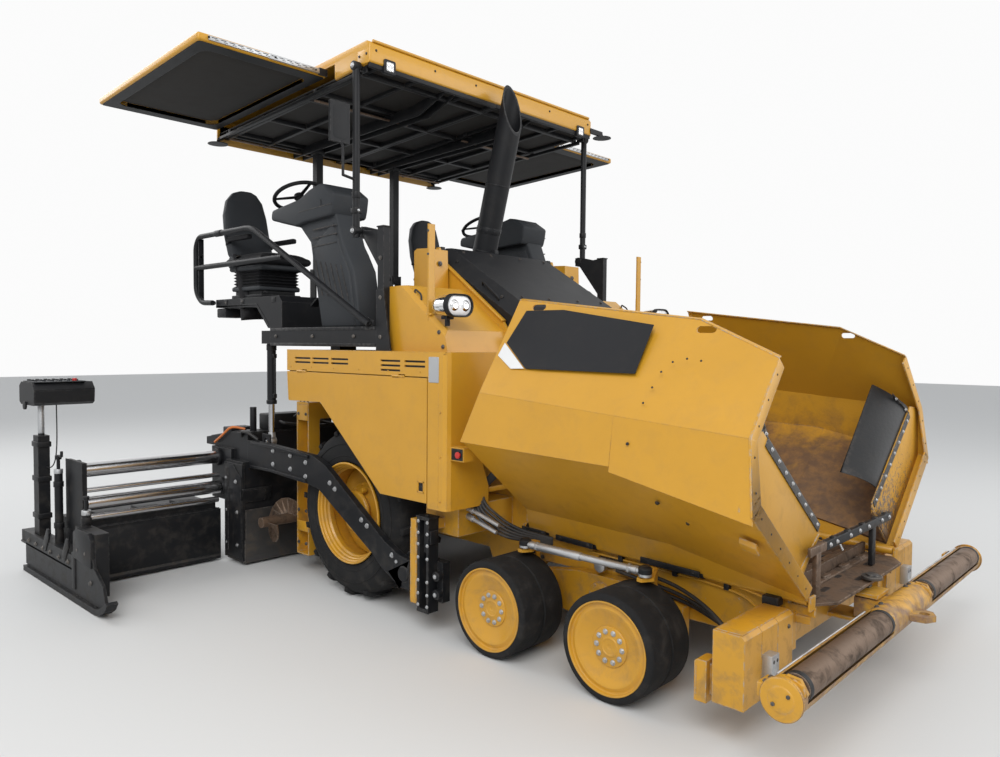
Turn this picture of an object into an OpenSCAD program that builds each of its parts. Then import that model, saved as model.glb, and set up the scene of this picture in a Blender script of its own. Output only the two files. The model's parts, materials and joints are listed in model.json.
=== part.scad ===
// Wheeled asphalt paver with folding hopper, drop-down side doors, swinging seats,
// a folding canopy and a towed screed with sliding extensions.
// Millimetres. +X forward, +Y left, +Z up. Ground is z = 0.

/* [Chassis] */
// distance from the drive axle back to the end gates' rear ends
rear_reach = 2430; // [2300:10:2600]
// distance from the drive axle forward to the push roller beam
beam_x = 3200; // [3100:10:3300]
// half width between the chassis side plates' outer faces
frame_half = 600; // [560:5:640]
// thickness of a chassis side plate
side_plate = 30; // [20:1:40]
// half width over the hull panels
hull_half = 1250; // [1200:5:1275]
// height of the hull's top
hull_top = 1710; // [1600:5:1800]
// sheet thickness of hull panels
skin = 12; // [6:1:20]

/* [Drive wheels] */
// outer radius of a drive tyre
drive_r = 590; // [560:5:650]
// width of a drive tyre
drive_w = 390; // [340:5:440]
// radius of the rim's flange
rim_r = 345; // [300:5:380]
// radius of the drive hub
hub_r = 150; // [120:5:180]

/* [Front wheels] */
// rear bogie wheel from the drive axle
bogie_x1 = 1420; // [1350:5:1500]
// front bogie wheel from the drive axle
bogie_x2 = 2223; // [2150:5:2300]
// outer radius of a front tyre
front_r = 272; // [250:1:300]
// width of a front tyre
front_w = 350; // [300:5:400]
// height of the tie rods
tie_z = 610; // [560:5:660]

/* [Hopper] */
// half width over the lower bends of the wings
wing_half = 1270; // [1240:1:1300]
// sheet thickness of a wing
wing_t = 14; // [8:1:20]
// height of the hinge line at its front
wing_hinge_z = 560; // [550:1:600]
// fall of the hinge line to the front, degrees
wing_fall = 1.84; // [0:0.01:4]

/* [Push beam] */
// half length of the beam
beam_half = 1420; // [1300:5:1500]
// height of the beam
beam_z = 405; // [360:5:460]
// radius of the beam
beam_r = 80; // [60:1:100]
// radius of a push roller
roller_r = 60; // [50:1:90]

/* [Tow arms] */
// tow pin from the drive axle
pin_x = 680; // [660:5:700]
// height of the tow pin
pin_z = 320; // [300:1:400]
// radius of the tow pin
pin_r = 32; // [20:1:45]
// thickness of a tow arm
arm_t = 45; // [30:1:50]

/* [Screed] */
// front face of the main screed behind the drive axle
screed_x = 1215; // [1150:5:1300]
// half width of the main screed
screed_half = 1250; // [1200:5:1275]
// front face of an extension behind the drive axle
ext_x = 1500; // [1450:5:1600]
// outer end of an extension at rest
ext_out = 2330; // [2200:5:2400]
// radius of the large guide tubes
tube_r = 52; // [40:1:65]
// travel of an extension
ext_travel = 1000; // [800:10:1080]
// radius of an auger
auger_r = 165; // [140:5:200]

/* [Platform] */
// underside of the operators' platform
deck_z = 1735; // [1715:5:1800]
// top of the operators' platform
deck_top = 1869; // [1850:1:1900]
// rear edge of the platform behind the drive axle
deck_rear = 866; // [800:1:950]
// front edge of the platform before the drive axle
deck_front = 416; // [380:1:450]

/* [Canopy] */
// front edge of the roof before the drive axle
roof_front = 320; // [280:1:360]
// rear edge of the roof behind the drive axle
roof_rear = 1720; // [1600:5:1800]
// half width of the roof
roof_half = 1183; // [1150:1:1200]
// height of the roof's top at its front
roof_top = 3707; // [3600:1:3800]
// height of the front posts' pivots
post_z = 2489; // [2400:1:2600]
// length of a roof wing's slide out
roof_slide = 900; // [700:10:950]

/* [Hood] */
// rear edge of the hood's top before the drive axle
hood_rear = 384; // [340:1:420]
// front edge of the hood before the drive axle
hood_front = 1032; // [1000:1:1060]
// height of the hood's rear edge
hood_high = 2432; // [2380:1:2480]
// height of the hood's front edge
hood_low = 2041; // [2000:1:2080]

/* [Hidden] */
fn_big = 64;
fn_mid = 32;
fn_small = 20;
drive_out = frame_half + 520;
king_y = frame_half + 140;
tie_y = king_y + 220;
front_out = king_y + 460;
wing_hinge_y = frame_half + 34;
arm_in = drive_out + 16;
lift_y = arm_in - 51;
weight_in = frame_half + 90;
weight_out = front_out - 10;
frame_top = 1300;
seam_z = 1560;
hood_slope = atan2(hood_high - hood_low, hood_front - hood_rear);
joint_x = -screed_x - 25;
bogie_mid = (bogie_x1 + bogie_x2) / 2;
run = 0.05;
gap = 8;
rest = 0.3;
yellow = [0.86, 0.62, 0.13];
black = [0.06, 0.06, 0.07];
grey = [0.22, 0.23, 0.24];
steel = [0.35, 0.27, 0.21];
bright = [0.75, 0.76, 0.78];
rubber = [0.05, 0.05, 0.05];
front_end = beam_x + 180;
mid_x = (front_end - rear_reach) / 2;
wing_front = 2988;
post_len = roof_top - post_z - 162;
post_y = 1212;
post_r = 24;
barrel_r = 34;
rear_post_x = 1400;
rear_post_z = post_z - 125;
roller_x = beam_x + 25;
roller_z = beam_z + 30;
roller_in = 330;
roller_out = beam_half - 70;
push_pin_x = beam_x - 130;
lift_x = -1040;
lift_top = 1790;
lift_low = 990;
auger_x = -1010;
auger_z = 370;
tube_hi = [-1640, 820];
tube_lo = [-1560, 590];
tube_in = 1020;
slot_r = 30;
frame_in = frame_half - side_plate;
drive_in = drive_out - drive_w;
front_in = front_out - front_w;
ext_side = ext_out + 110;
main_back = ext_x - 20;
pivot_r = 14;

// shape helpers

module at(c) {
  color(c) translate([-mid_x, 0, 0]) children();
}

module box(x, y, z) {
  translate([x[0], y[0], z[0]]) cube([x[1] - x[0], y[1] - y[0], z[1] - z[0]]);
}

// a profile in X and Z drawn out along Y
module along_y(pts, y) {
  translate([0, y[1], 0]) rotate([90, 0, 0]) linear_extrude(y[1] - y[0]) polygon(pts);
}

// a profile in Y and Z drawn out along X
module along_x(pts, x) {
  translate([x[0], 0, 0]) rotate([90, 0, 90]) linear_extrude(x[1] - x[0]) polygon(pts);
}

// a profile in X and Y drawn out along Z
module along_z(pts, z) {
  translate([0, 0, z[0]]) linear_extrude(z[1] - z[0]) polygon(pts);
}

module rod_y(x, z, y, r, fn = fn_mid) {
  translate([x, y[1], z]) rotate([90, 0, 0]) cylinder(h = y[1] - y[0], r = r, $fn = fn);
}

module rod_x(y, z, x, r, fn = fn_mid) {
  translate([x[0], y, z]) rotate([0, 90, 0]) cylinder(h = x[1] - x[0], r = r, $fn = fn);
}

module rod_z(x, y, z, r, fn = fn_mid) {
  translate([x, y, z[0]]) cylinder(h = z[1] - z[0], r = r, $fn = fn);
}

// a round bar from one point to another
module bar(a, b, r, fn = fn_small) {
  d = b - a;
  l = norm(d);
  translate(a) rotate([0, acos(d[2] / l), atan2(d[1], d[0])]) cylinder(h = l, r = r, $fn = fn);
}

// a tube with flat sides from one point to another
module flat_bar(a, b, r, sides = 10) {
  d = b - a;
  l = norm(d);
  translate(a) rotate([0, acos(d[2] / l), atan2(d[1], d[0])]) linear_extrude(l)
    polygon([for (i = [0:sides - 1]) r * [cos((i + 0.5) * 360 / sides), sin((i + 0.5) * 360 / sides)]]);
}

// straight tubes end to end, each run on a little past its bends
module tube_path(pts, r) {
  n = len(pts) - 1;
  for (i = [0:n - 1]) {
    d = (pts[i + 1] - pts[i]) / norm(pts[i + 1] - pts[i]);
    flat_bar(pts[i] - (i > 0 ? 0.4 * r : 0) * d, pts[i + 1] + (i < n - 1 ? 0.4 * r : 0) * d, r);
  }
}

// a flight wound about the Y axis, as rows of four corners
module flight(y0, pitch, turns, r_in, r_out, t) {
  n = turns * 16;
  pts = [for (i = [0:n]) let (a = i * 22.5, y = y0 + i * pitch / 16)
    for (p = [[r_in, 0], [r_out, 0], [r_out, t], [r_in, t]]) [p[0] * cos(a), y + p[1], p[0] * sin(a)]];
  polyhedron(points = pts, faces = concat([[0, 1, 2], [0, 2, 3], [4 * n, 4 * n + 3, 4 * n + 2],
    [4 * n, 4 * n + 2, 4 * n + 1]],
    [for (i = [0:n - 1]) for (j = [0:3]) for (h = [0, 1]) let (a = 4 * i + j, b = 4 * i + (j + 1) % 4)
      h == 0 ? [a, a + 4, b] : [b, a + 4, b + 4]]), convexity = 10);
}

module both() {
  children();
  mirror([0, 1, 0]) children();
}

module side(s) {
  if (s > 0) children();
  else mirror([0, 1, 0]) children();
}

// a folded sheet: rows of outer points, and the way in from each column
module sheet(rows, inward) {
  n = len(rows[0]);
  m = len(rows);
  outer = [for (r = rows) for (p = r) p];
  inner = [for (r = rows) for (j = [0:n - 1]) r[j] + inward[j]];
  q = n * m;
  function at_o(i, j) = i * n + j;
  function at_i(i, j) = q + i * n + j;
  grid = [for (i = [0:m - 2]) for (j = [0:n - 2]) [i, j]];
  faces = concat(
    [for (g = grid) [at_o(g[0], g[1]), at_o(g[0], g[1] + 1), at_o(g[0] + 1, g[1])]],
    [for (g = grid) [at_o(g[0] + 1, g[1]), at_o(g[0], g[1] + 1), at_o(g[0] + 1, g[1] + 1)]],
    [for (g = grid) [at_i(g[0], g[1]), at_i(g[0] + 1, g[1]), at_i(g[0], g[1] + 1)]],
    [for (g = grid) [at_i(g[0] + 1, g[1]), at_i(g[0] + 1, g[1] + 1), at_i(g[0], g[1] + 1)]],
    [for (i = [0:m - 2]) [at_o(i, 0), at_i(i + 1, 0), at_i(i, 0)]],
    [for (i = [0:m - 2]) [at_o(i, 0), at_o(i + 1, 0), at_i(i + 1, 0)]],
    [for (i = [0:m - 2]) [at_o(i, n - 1), at_i(i, n - 1), at_i(i + 1, n - 1)]],
    [for (i = [0:m - 2]) [at_o(i, n - 1), at_i(i + 1, n - 1), at_o(i + 1, n - 1)]],
    [for (j = [0:n - 2]) [at_o(0, j), at_i(0, j), at_o(0, j + 1)]],
    [for (j = [0:n - 2]) [at_o(0, j + 1), at_i(0, j), at_i(0, j + 1)]],
    [for (j = [0:n - 2]) [at_o(m - 1, j), at_o(m - 1, j + 1), at_i(m - 1, j)]],
    [for (j = [0:n - 2]) [at_o(m - 1, j + 1), at_i(m - 1, j + 1), at_i(m - 1, j)]]);
  polyhedron(points = concat(outer, inner), faces = faces, convexity = 6);
}

// chassis

side_profile = [[-520, 420], [-520, frame_top], [1150, frame_top], [1190, 640], [2880, 540],
  [2880, 300], [bogie_mid + 160, 300], [bogie_mid + 100, 235], [bogie_mid - 100, 235],
  [bogie_mid - 160, 420], [1350, 420], [1290, 330], [900, 330], [860, 420]];

// the wing hinge's own frame: X runs along the hinge, front end at 0
module on_hinge() {
  translate([wing_front, wing_hinge_y, wing_hinge_z]) rotate([0, wing_fall, 0]) children();
}

module front_weights() {
  difference() {
    along_y([[2790, 190], [2790, 515], [2922, 515], [2940, 497], [2940, 190]], [weight_in, weight_out]);
    // grooves between the slabs
    for (i = [1:2]) let (y = weight_in + i * (weight_out - weight_in) / 3)
      box([2850, 2941], [y - 2, y + 2], [189, 516]);
  }
  difference() {
    box([2939, 2985], [weight_out - 245, weight_out - 175], [286, 393]);
    for (y = [228, 192]) rod_x(weight_out - y, 366, [2930, 2990], 8);
  }
  along_y([[2700, 170], [2700, 350], [2712, 360], [2760, 360], [2760, 170]],
    [weight_out - 100, weight_out - 5]);
  box([2759, 2791], [weight_out - 100, weight_out - 40], [200, 340]);
}

module rear_upright() {
  difference() {
    box([-820, -660], [drive_out - 220, drive_out - 120], [140, 1310]);
    box([-810, -670], [drive_out - 210, drive_out - 110], [150, 1290]);
    for (z = [[200, 300], [420, 560], [640, 1150]])
      box([-755, -725], [drive_out - 230, drive_out - 100], z);
  }
  box([-820, -660], [frame_half + 40, drive_out - 219], [1180, 1299]);
  box([-680, -500], [frame_half - 1, 680], [1000, 1299]);
}

module main_frame() {
  at(yellow) {
    both() difference() {
      along_y(side_profile, [frame_in, frame_half]);
      rod_y(bogie_mid, 330, [frame_in - 10, frame_half + 10], 60 + run);
      // oval hole over the bogie
      for (x = [-45, 45]) rod_y(bogie_mid + x, 500, [frame_in - 10, frame_half + 10], 40);
      box([bogie_mid - 45, bogie_mid + 45], [frame_in - 10, frame_half + 10], [461, 539]);
    }
    box([2850, 2880], [-frame_in - 1, frame_in + 1], [300, 500]);
    box([1150, 1180], [-frame_in - 1, frame_in + 1], [330, 480]);
    box([-520, -500], [-frame_in - 1, frame_in + 1], [1000, frame_top]);
    box([-250, 250], [-frame_in - 1, frame_in + 1], [900, 920]);
    // fork that carries the push beam
    box([2870, push_pin_x + 60], [-90, 90], [beam_z - 80, beam_z - 60]);
    box([2870, push_pin_x + 60], [-90, 90], [beam_z + 60, beam_z + 80]);
    rod_z(push_pin_x, 0, [beam_z - 61, beam_z + 61], 40);
    both() {
      // axle ends
      rod_y(0, drive_r, [frame_half - 1, drive_in - gap], 130);
      rod_y(0, drive_r, [drive_in - gap - 1, drive_in + 85], 80);
      front_weights();
      box([2860, 2920], [frame_half - 1, weight_in + 10], [300, 480]);
      box([2861, wing_front + 22], [frame_half - 12, frame_half + 2], [470, 516]);
      rear_upright();
      // carriers of the tow tracks and the yellow plate before them
      box([770, 1060], [frame_half - 1, arm_in - 56], [600, 780]);
      box([860, 940], [arm_in - 57, arm_in + 4], [640, 702]);
      box([770, 820], [arm_in - 57, arm_in + 70], [640, 690]);
      box([770, 820], [arm_in + 60, arm_in + 70], [170, 641]);
      // ears and pins of the wing hinges
      on_hinge() {
        rod_x(0, 0, [-60, 20], 12);
        rod_x(0, 0, [-1790, -1660], 12);
        box([8, 20], [-40, 20], [-50, 20]);
        box([-1790, -1778], [-60, 20], [-40, 20]);
      }
    }
  }
}

// louvre slots in the side strip: first x, last x, rows from the top
louvres = [[-448, -254, 2], [-230, -36, 2], [-7, 185, 2], [526, 716, 3], [757, 945, 2]];
// places of the doors' hinges along X
door_hinges = [-420, 640];

// an upper side strip with louvres and hinge barrels
module side_strip() {
  difference() {
    union() {
      box([-550, 1090], [hull_half - skin, hull_half], [seam_z + 2, hull_top]);
      for (x = door_hinges) rod_x(hull_half, seam_z, [x, x + 60], 6);
    }
    for (l = louvres) for (i = [0:l[2] - 1])
      box([l[0], l[1]], [hull_half - skin - 1, hull_half + 1],
        [hull_top - 64 - 29 * i, hull_top - 52 - 29 * i]);
    for (x = door_hinges)
      box([x + 60, x + 122], [hull_half - skin - 1, hull_half + 1], [seam_z, seam_z + 12]);
  }
  for (x = door_hinges) rod_x(hull_half, seam_z, [x + 59, x + 118], 3);
}

// sloping cheek beside the hood, with the taller block at its rear
module cheek() {
  difference() {
    along_y([[deck_front + 14, hull_top - 1], [deck_front + 14, 2118], [640, 2123], [1000, 1840],
      [1030, hull_top - 1]], [622, hull_half - 100]);
    // chamfer along its outer upper edge
    translate([640, hull_half - 100, 2123]) rotate([0, 38.2, 0]) rotate([45, 0, 0])
      box([-400, 600], [-18, 100], [-100, 100]);
  }
  along_y([[deck_front, hull_top - 1], [deck_front, deck_top], [340, deck_top], [340, 2385],
    [370, 2400], [480, 2395], [490, 2120], [500, hull_top - 1]], [640, 820]);
  along_y([[deck_front, hull_top - 1], [deck_front, deck_top], [342, deck_top], [342, 2428],
    [368, 2428], [hood_rear + 14, 2335], [980, 1912], [1030, 1840], [1030, hull_top - 1]], [602, 622]);
  // flat post and the pin of the hood's hinge
  along_y([[851, 1900], [851, 2481], [863, 2481], [863, 1900]],
    [hull_half - 148, hull_half - 98]);
  rod_y(hood_rear - 30, hood_high - 7, [565, 603], 6);
}

module hull() {
  at(yellow) {
    both() {
      side_strip();
      box([970, 1090], [hull_half - skin, hull_half], [786, seam_z + 2]);
      difference() {
        along_z([[1060, hull_half - 30], [1060, hull_half], [1100, hull_half], [1125, hull_half - 10],
          [1135, hull_half - 35], [1135, 640], [1120, 640], [1120, hull_half - 45],
          [1112, hull_half - 25], [1095, hull_half - 12], [1090, hull_half - 12],
          [1090, hull_half - 30]], [786, hull_top]);
        // elbow-shaped hole that the wing's rear end passes
        along_x([[639, 690], [639, 1200], [900, 1200], [960, 1060], [900, 900], [900, 690]], [1050, 1150]);
      }
      // switch box at the front corner
      box([1134, 1245], [hull_half - 110, hull_half - 30], [1085, 1165]);
      box([-550, -538], [frame_half + 19, hull_half - skin - gap], [1344, hull_top]);
      box([-550, 1135], [frame_half, frame_half + 20], [frame_top, hull_top]);
      box([-550, 1120], [frame_half, hull_half], [hull_top - skin, hull_top]);
      cheek();
    }
    box([-550, 150], [-frame_half, frame_half], [frame_top, frame_top + 20]);
    box([1100, 1120], [-frame_half, frame_half], [frame_top, 1840]);
    box([-550, -538], [-frame_half, frame_half], [frame_top, 1700]);
  }
}

// twin lamp on a stem beside the flat post
lamp_y = [1070, 1150];
lamp_z = 1985;

module headlamps() {
  at(black) both() {
    difference() {
      union() {
        for (y = lamp_y) rod_x(y, lamp_z, [950, 1100], 68);
        box([950, 1100], lamp_y, [lamp_z - 65, lamp_z + 65]);
      }
      for (y = lamp_y) rod_x(y, lamp_z, [1086, 1110], 58);
      box([1086, 1110], lamp_y, [lamp_z - 55, lamp_z + 55]);
    }
    for (y = lamp_y) rod_x(y, lamp_z, [905, 951], 44);
    rod_z(985, 1105, [1865 + rest, 1925], 16);
  }
}

module engine_block() {
  at(grey) {
    box([150, 1080], [-400, 400], [1000, 1700]);
    box([200, 1000], [-frame_in, frame_in], [1040, 1090]);
  }
}

module conveyor() {
  at(steel) {
    box([-680, 2840], [-frame_in + 30, frame_in - 30], [500, 512]);
    box([-680, 2850], [-20, 20], [511, 600]);
    both() {
      box([-680, 2845], [frame_in - 50, frame_in], [511.5, 560]);
      for (i = [0:13]) box([-600 + i * 240, -560 + i * 240], [40, frame_in - 70], [511, 530]);
      rod_y(2790, 520, [22, frame_in - 52], 60);
    }
    // lip at the hopper's mouth and the bar above it
    along_z([[2840, -frame_in], [2881, -frame_in], [2881, -frame_half + 10], [3000, -frame_half + 10],
      [3075, -480], [3075, 480], [3000, frame_half - 10], [2881, frame_half - 10], [2881, frame_in],
      [2840, frame_in]], [521, 535]);
    box([2881, 2905], [-frame_half + 25, frame_half - 25], [700, 750]);
    both() box([2881, 2905], [frame_half - 45, frame_half - 25], [534, 750]);
    box([2830, 2850], [-frame_in, frame_in], [500, 600]);
  }
}

module bogie_beams() {
  at(yellow) {
    both() {
      along_y([[1290, 220], [1290, 380], [1650, 440], [2000, 440], [2350, 380], [2350, 220],
        [1960, 170], [1680, 170]], [frame_half + 12, king_y - 60]);
      rod_y(bogie_mid, 330, [frame_in - 20, frame_half + 13], 60);
      for (x = [bogie_x1, bogie_x2]) {
        rod_z(x, king_y, [200, 255], 45);
        rod_z(x, king_y, [365, 420], 45);
        box([x - 45, x + 45], [king_y - 61, king_y], [200, 255]);
        box([x - 45, x + 45], [king_y - 61, king_y], [365, 420]);
        rod_z(x, king_y, [254, 366], 22);
      }
    }
  }
}

// wheels

module drive_rim() {
  translate([0, -drive_out, drive_r]) rotate([90, 0, 0]) mirror([0, 0, 1])
    rotate_extrude($fn = fn_big) polygon([[rim_r - 45, -12], [rim_r, -12], [rim_r, 12],
      [rim_r - 20, 20], [rim_r - 20, drive_w - 20], [rim_r, drive_w - 12], [rim_r, drive_w],
      [rim_r - 45, drive_w], [rim_r - 47, 235], [120, 235], [120, drive_w - 60],
      [80 + run, drive_w - 60], [80 + run, 300], [0, 300], [0, 40],
      [110, 40], [hub_r, 60], [hub_r, 205], [rim_r - 75, 205], [rim_r - 73, 60],
      [rim_r - 53, 20]]);
}

module drive_tyre() {
  translate([0, -drive_out, drive_r]) rotate([90, 0, 0]) mirror([0, 0, 1]) {
    rotate_extrude($fn = fn_big) polygon([[rim_r + 1, 16], [rim_r + 60, 0], [drive_r - 90, 4],
      [drive_r - 30, 40], [drive_r - 24, drive_w - 40], [drive_r - 90, drive_w - 4],
      [rim_r + 60, drive_w], [rim_r + 1, drive_w - 16]]);
    for (s = [0, 1]) for (i = [0:15]) rotate([0, 0, (i + s / 2) * 22.5])
      translate([0, 0, s * (drive_w / 2) + 20])
        linear_extrude(drive_w / 2 - 20)
          polygon([[drive_r - 45, -22], [drive_r, -18], [drive_r, 18], [drive_r - 45, 22]]);
  }
}

module drive_wheel(s, part) {
  side(-s) {
    if (part == 0) drive_rim();
    else drive_tyre();
  }
}

module drive_rim_right() { at(yellow) drive_wheel(-1, 0); }
module drive_rim_left() { at(yellow) drive_wheel(1, 0); }
module drive_tyre_right() { at(rubber) drive_wheel(-1, 1); }
module drive_tyre_left() { at(rubber) drive_wheel(1, 1); }

module knuckle(x, s) {
  side(s) {
    difference() {
      union() {
        rod_z(x, king_y, [263, 357], 48);
        box([x - 40, x + 40], [king_y, king_y + 60], [263, 357]);
        box([x - 40, x + 40], [king_y + 53, king_y + 90], [235, 600]);
        rod_y(x, front_r, [king_y + 80, front_out - 60], 38);
        along_z([[x - 40, king_y + 53], [x + 40, king_y + 53], [x + 105, tie_y - 30],
          [x + 70, tie_y + 30], [x + 40, tie_y + 30]], [570, 588]);
      }
      rod_z(x, king_y, [230, 420], 22 + run);
    }
    rod_z(x + 70, tie_y, [587, tie_z + 30], 16);
  }
}

module knuckle_rear_right() { at(yellow) knuckle(bogie_x1, -1); }
module knuckle_front_right() { at(yellow) knuckle(bogie_x2, -1); }
module knuckle_rear_left() { at(yellow) knuckle(bogie_x1, 1); }
module knuckle_front_left() { at(yellow) knuckle(bogie_x2, 1); }

module front_rim(x, s) {
  side(s) translate([x, front_out, front_r]) rotate([90, 0, 0])
    rotate_extrude($fn = 48) polygon([[38 + run, 40], [60, 18], [60, 14], [200, 14], [234, 0],
      [234, 330], [216, 330], [216, 60], [60, 60], [60, 250], [38 + run, 250]]);
}

module front_tyre(x, s) {
  side(s) translate([x, front_out, front_r]) rotate([90, 0, 0])
    rotate_extrude($fn = 48) polygon([[234 + rest, 2], [260, 2], [front_r, 14], [front_r, 168],
      [front_r - 10, 175], [front_r, 182], [front_r, front_w - 14], [260, front_w - 2],
      [234 + rest, front_w - 2]]);
}

module front_rim_rear_right() { at(yellow) front_rim(bogie_x1, -1); }
module front_rim_front_right() { at(yellow) front_rim(bogie_x2, -1); }
module front_rim_rear_left() { at(yellow) front_rim(bogie_x1, 1); }
module front_rim_front_left() { at(yellow) front_rim(bogie_x2, 1); }
module front_tyre_rear_right() { at(rubber) front_tyre(bogie_x1, -1); }
module front_tyre_front_right() { at(rubber) front_tyre(bogie_x2, -1); }
module front_tyre_rear_left() { at(rubber) front_tyre(bogie_x1, 1); }
module front_tyre_front_left() { at(rubber) front_tyre(bogie_x2, 1); }

module tie_rod(s) {
  side(s) difference() {
    union() {
      rod_x(tie_y, tie_z + 8, [bogie_x1 + 70, bogie_x2 + 70], 19);
      for (x = [bogie_x1 + 70, bogie_x2 + 70]) rod_z(x, tie_y, [tie_z - 13, tie_z + 28], 34);
    }
    for (x = [bogie_x1 + 70, bogie_x2 + 70])
      rod_z(x, tie_y, [tie_z - 30, tie_z + 50], 16 + run);
  }
}

module tie_rod_right() { at(bright) tie_rod(-1); }
module tie_rod_left() { at(bright) tie_rod(1); }

// hopper

// columns run from the hinge up to the top edge; rows run from rear to front
wing_rows = [
  [[1262, -wing_hinge_y - 30, 610], [1270, -wing_hinge_y - 71, 748], [1263, -wing_half, 1217],
    [1384, -1240, 1491], [1422, -950, 2014]],
  [[1500, -wing_hinge_y - 30, 603], [1500, -wing_hinge_y - 71, 745], [1560, -wing_half, 1214],
    [1640, -1238, 1470], [1700, -945, 1995]],
  [[2250, -wing_hinge_y - 30, 580], [2250, -wing_hinge_y - 71, 713], [2282, -wing_half, 1200],
    [2282, -1232, 1420], [2550, -920, 1883]],
  [[2988, -wing_hinge_y - 30, 556], [2990, -wing_hinge_y - 34, 572], [2996, -wing_half, 1050],
    [2961, -1226, 1372], [2943, -922, 1708]]];
wing_in = [[0, wing_t, 0], [0, wing_t, 6], [0, wing_t, 4], [0, wing_t, -2], [0, wing_t, -8]];

// lifting holes near the top edge: middle along X, place across and height
wing_holes = [[1575, -968, 1966], [2593, -949, 1836]];

module wing() {
  difference() {
    sheet(wing_rows, wing_in);
    for (h = wing_holes) for (dx = [-30, 30]) rod_y(h[0] + dx, h[2], [h[1] - 80, h[1] + 80], 17, 12);
    for (h = wing_holes) box([h[0] - 30, h[0] + 30], [h[1] - 80, h[1] + 80], [h[2] - 16, h[2] + 16]);
  }
  // hinge tube along the foot
  mirror([0, 1, 0]) on_hinge() difference() {
    rod_x(0, 0, [-1770, 0], 26);
    rod_x(0, 0, [-1800, 100], 12 + run);
  }
  // front flange, rear wall and inner front plate
  sheet([[for (j = [1:4]) wing_rows[3][j] + [-14, 5, 0]],
    [for (j = [1:4]) wing_rows[3][j] + [-2, 5, 0]]],
    [[0, 65, 70], [0, 73, 12], [0, 71, -14], [0, 15, -76]]);
  sheet([[for (j = [1:4]) wing_rows[0][j] + [2, 5, 0]],
    [for (j = [1:4]) wing_rows[0][j] + [14, 5, 0]]],
    [[0, 7, 200], [0, 495, 60], [0, 555, -30], [0, 105, -60]]);
  along_x([[-wing_hinge_y - 34, 588], [-wing_half + 6, 1066], [-1221, 1374], [-1060, 1390], [-393, 870],
    [-400, 800]], [2930, 2940]);
}

module wing_right() { at(yellow) wing(); }
module wing_left() { at(yellow) mirror([0, 1, 0]) wing(); }

// push beam

module push_beam() {
  at(yellow) {
    difference() {
      rod_y(beam_x, beam_z, [-beam_half, beam_half], beam_r);
      both() rod_y(roller_x, roller_z, [roller_in - gap, roller_out + gap], roller_r + gap);
    }
    both() {
      rod_y(beam_x, beam_z, [beam_half - 12, beam_half], beam_r + 8);
      rod_y(roller_x, roller_z, [roller_in - 30, roller_out + 30], 20);
      for (y = [roller_in - 30, roller_out + gap])
        along_y([[beam_x - 40, beam_z + 40], [beam_x, roller_z + 55], [roller_x + 30, roller_z + 50],
          [roller_x + 60, roller_z], [beam_x + 60, beam_z - 30]], [y, y + 22]);
    }
    difference() {
      box([push_pin_x - 60, beam_x - 40], [-80, 80], [beam_z - 52, beam_z + 52]);
      rod_z(push_pin_x, 0, [beam_z - 100, beam_z + 100], 40 + run);
    }
    difference() {
      along_z([[beam_x, -90], [beam_x + 150, -60], [beam_x + 180, 0], [beam_x + 150, 60],
        [beam_x, 90]], [beam_z - 15, beam_z + 15]);
      rod_z(beam_x + 125, 0, [beam_z - 60, beam_z + 60], 25);
    }
  }
}

module push_roller(s) {
  side(s) difference() {
    rod_y(roller_x, roller_z, [roller_in, roller_out], roller_r);
    rod_y(roller_x, roller_z, [roller_in - 50, roller_out + 50], 20 + run);
  }
}

module push_roller_right() { at(steel) push_roller(-1); }
module push_roller_left() { at(steel) push_roller(1); }

// tow gear

module tow_tracks() {
  at(black) both() {
    difference() {
      box([850, 950], [arm_in + 4, arm_in + 86], [140, 712]);
      box([868, 932], [arm_in + 22, arm_in + 100], [160, 700]);
      for (z = [200, 420, 640]) rod_y(900, z, [arm_in, arm_in + 30], 12);
    }
  }
}

module tow_points() {
  at(black) both() {
    rod_y(pin_x, pin_z, [arm_in - 36, arm_in + 56], pin_r);
    along_y([[600, 260], [600, 390], [660, 450], [1010, 450], [1010, 205], [660, 205]],
      [arm_in - 36, arm_in - 8]);
    box([962, 1010], [arm_in - 9, arm_in + 24], [205, 450]);
    for (z = [260, 370]) rod_y(990, z, [arm_in + 23, arm_in + 64], 28);
  }
}

module tow_arms() {
  at(black) {
    both() difference() {
      along_y([[735, 225], [735, 415], [640, 425], [480, 490], [-180, 905], [-340, 960],
        [-900, 985], [joint_x, 990],
        [joint_x, 820], [-screed_x, 820], [-screed_x, 771], [-900, 775], [-400, 750],
        [-260, 730], [360, 385], [460, 310], [640, 225]], [arm_in, arm_in + arm_t]);
      rod_y(pin_x, pin_z, [arm_in - 40, arm_in + 160], pin_r + run);
    }
    // slotted lugs that the lift rods pull on
    both() difference() {
      box([lift_x - 55, lift_x + 55], [lift_y + barrel_r + 5, arm_in + 1], [lift_low - 170, lift_low + 60]);
      box([lift_x - slot_r, lift_x + slot_r], [lift_y, arm_in + 10], [lift_low - 130, lift_low]);
      for (z = [lift_low - 130, lift_low]) rod_y(lift_x, z, [lift_y, arm_in + 10], slot_r);
    }
  }
}

// screed

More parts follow.
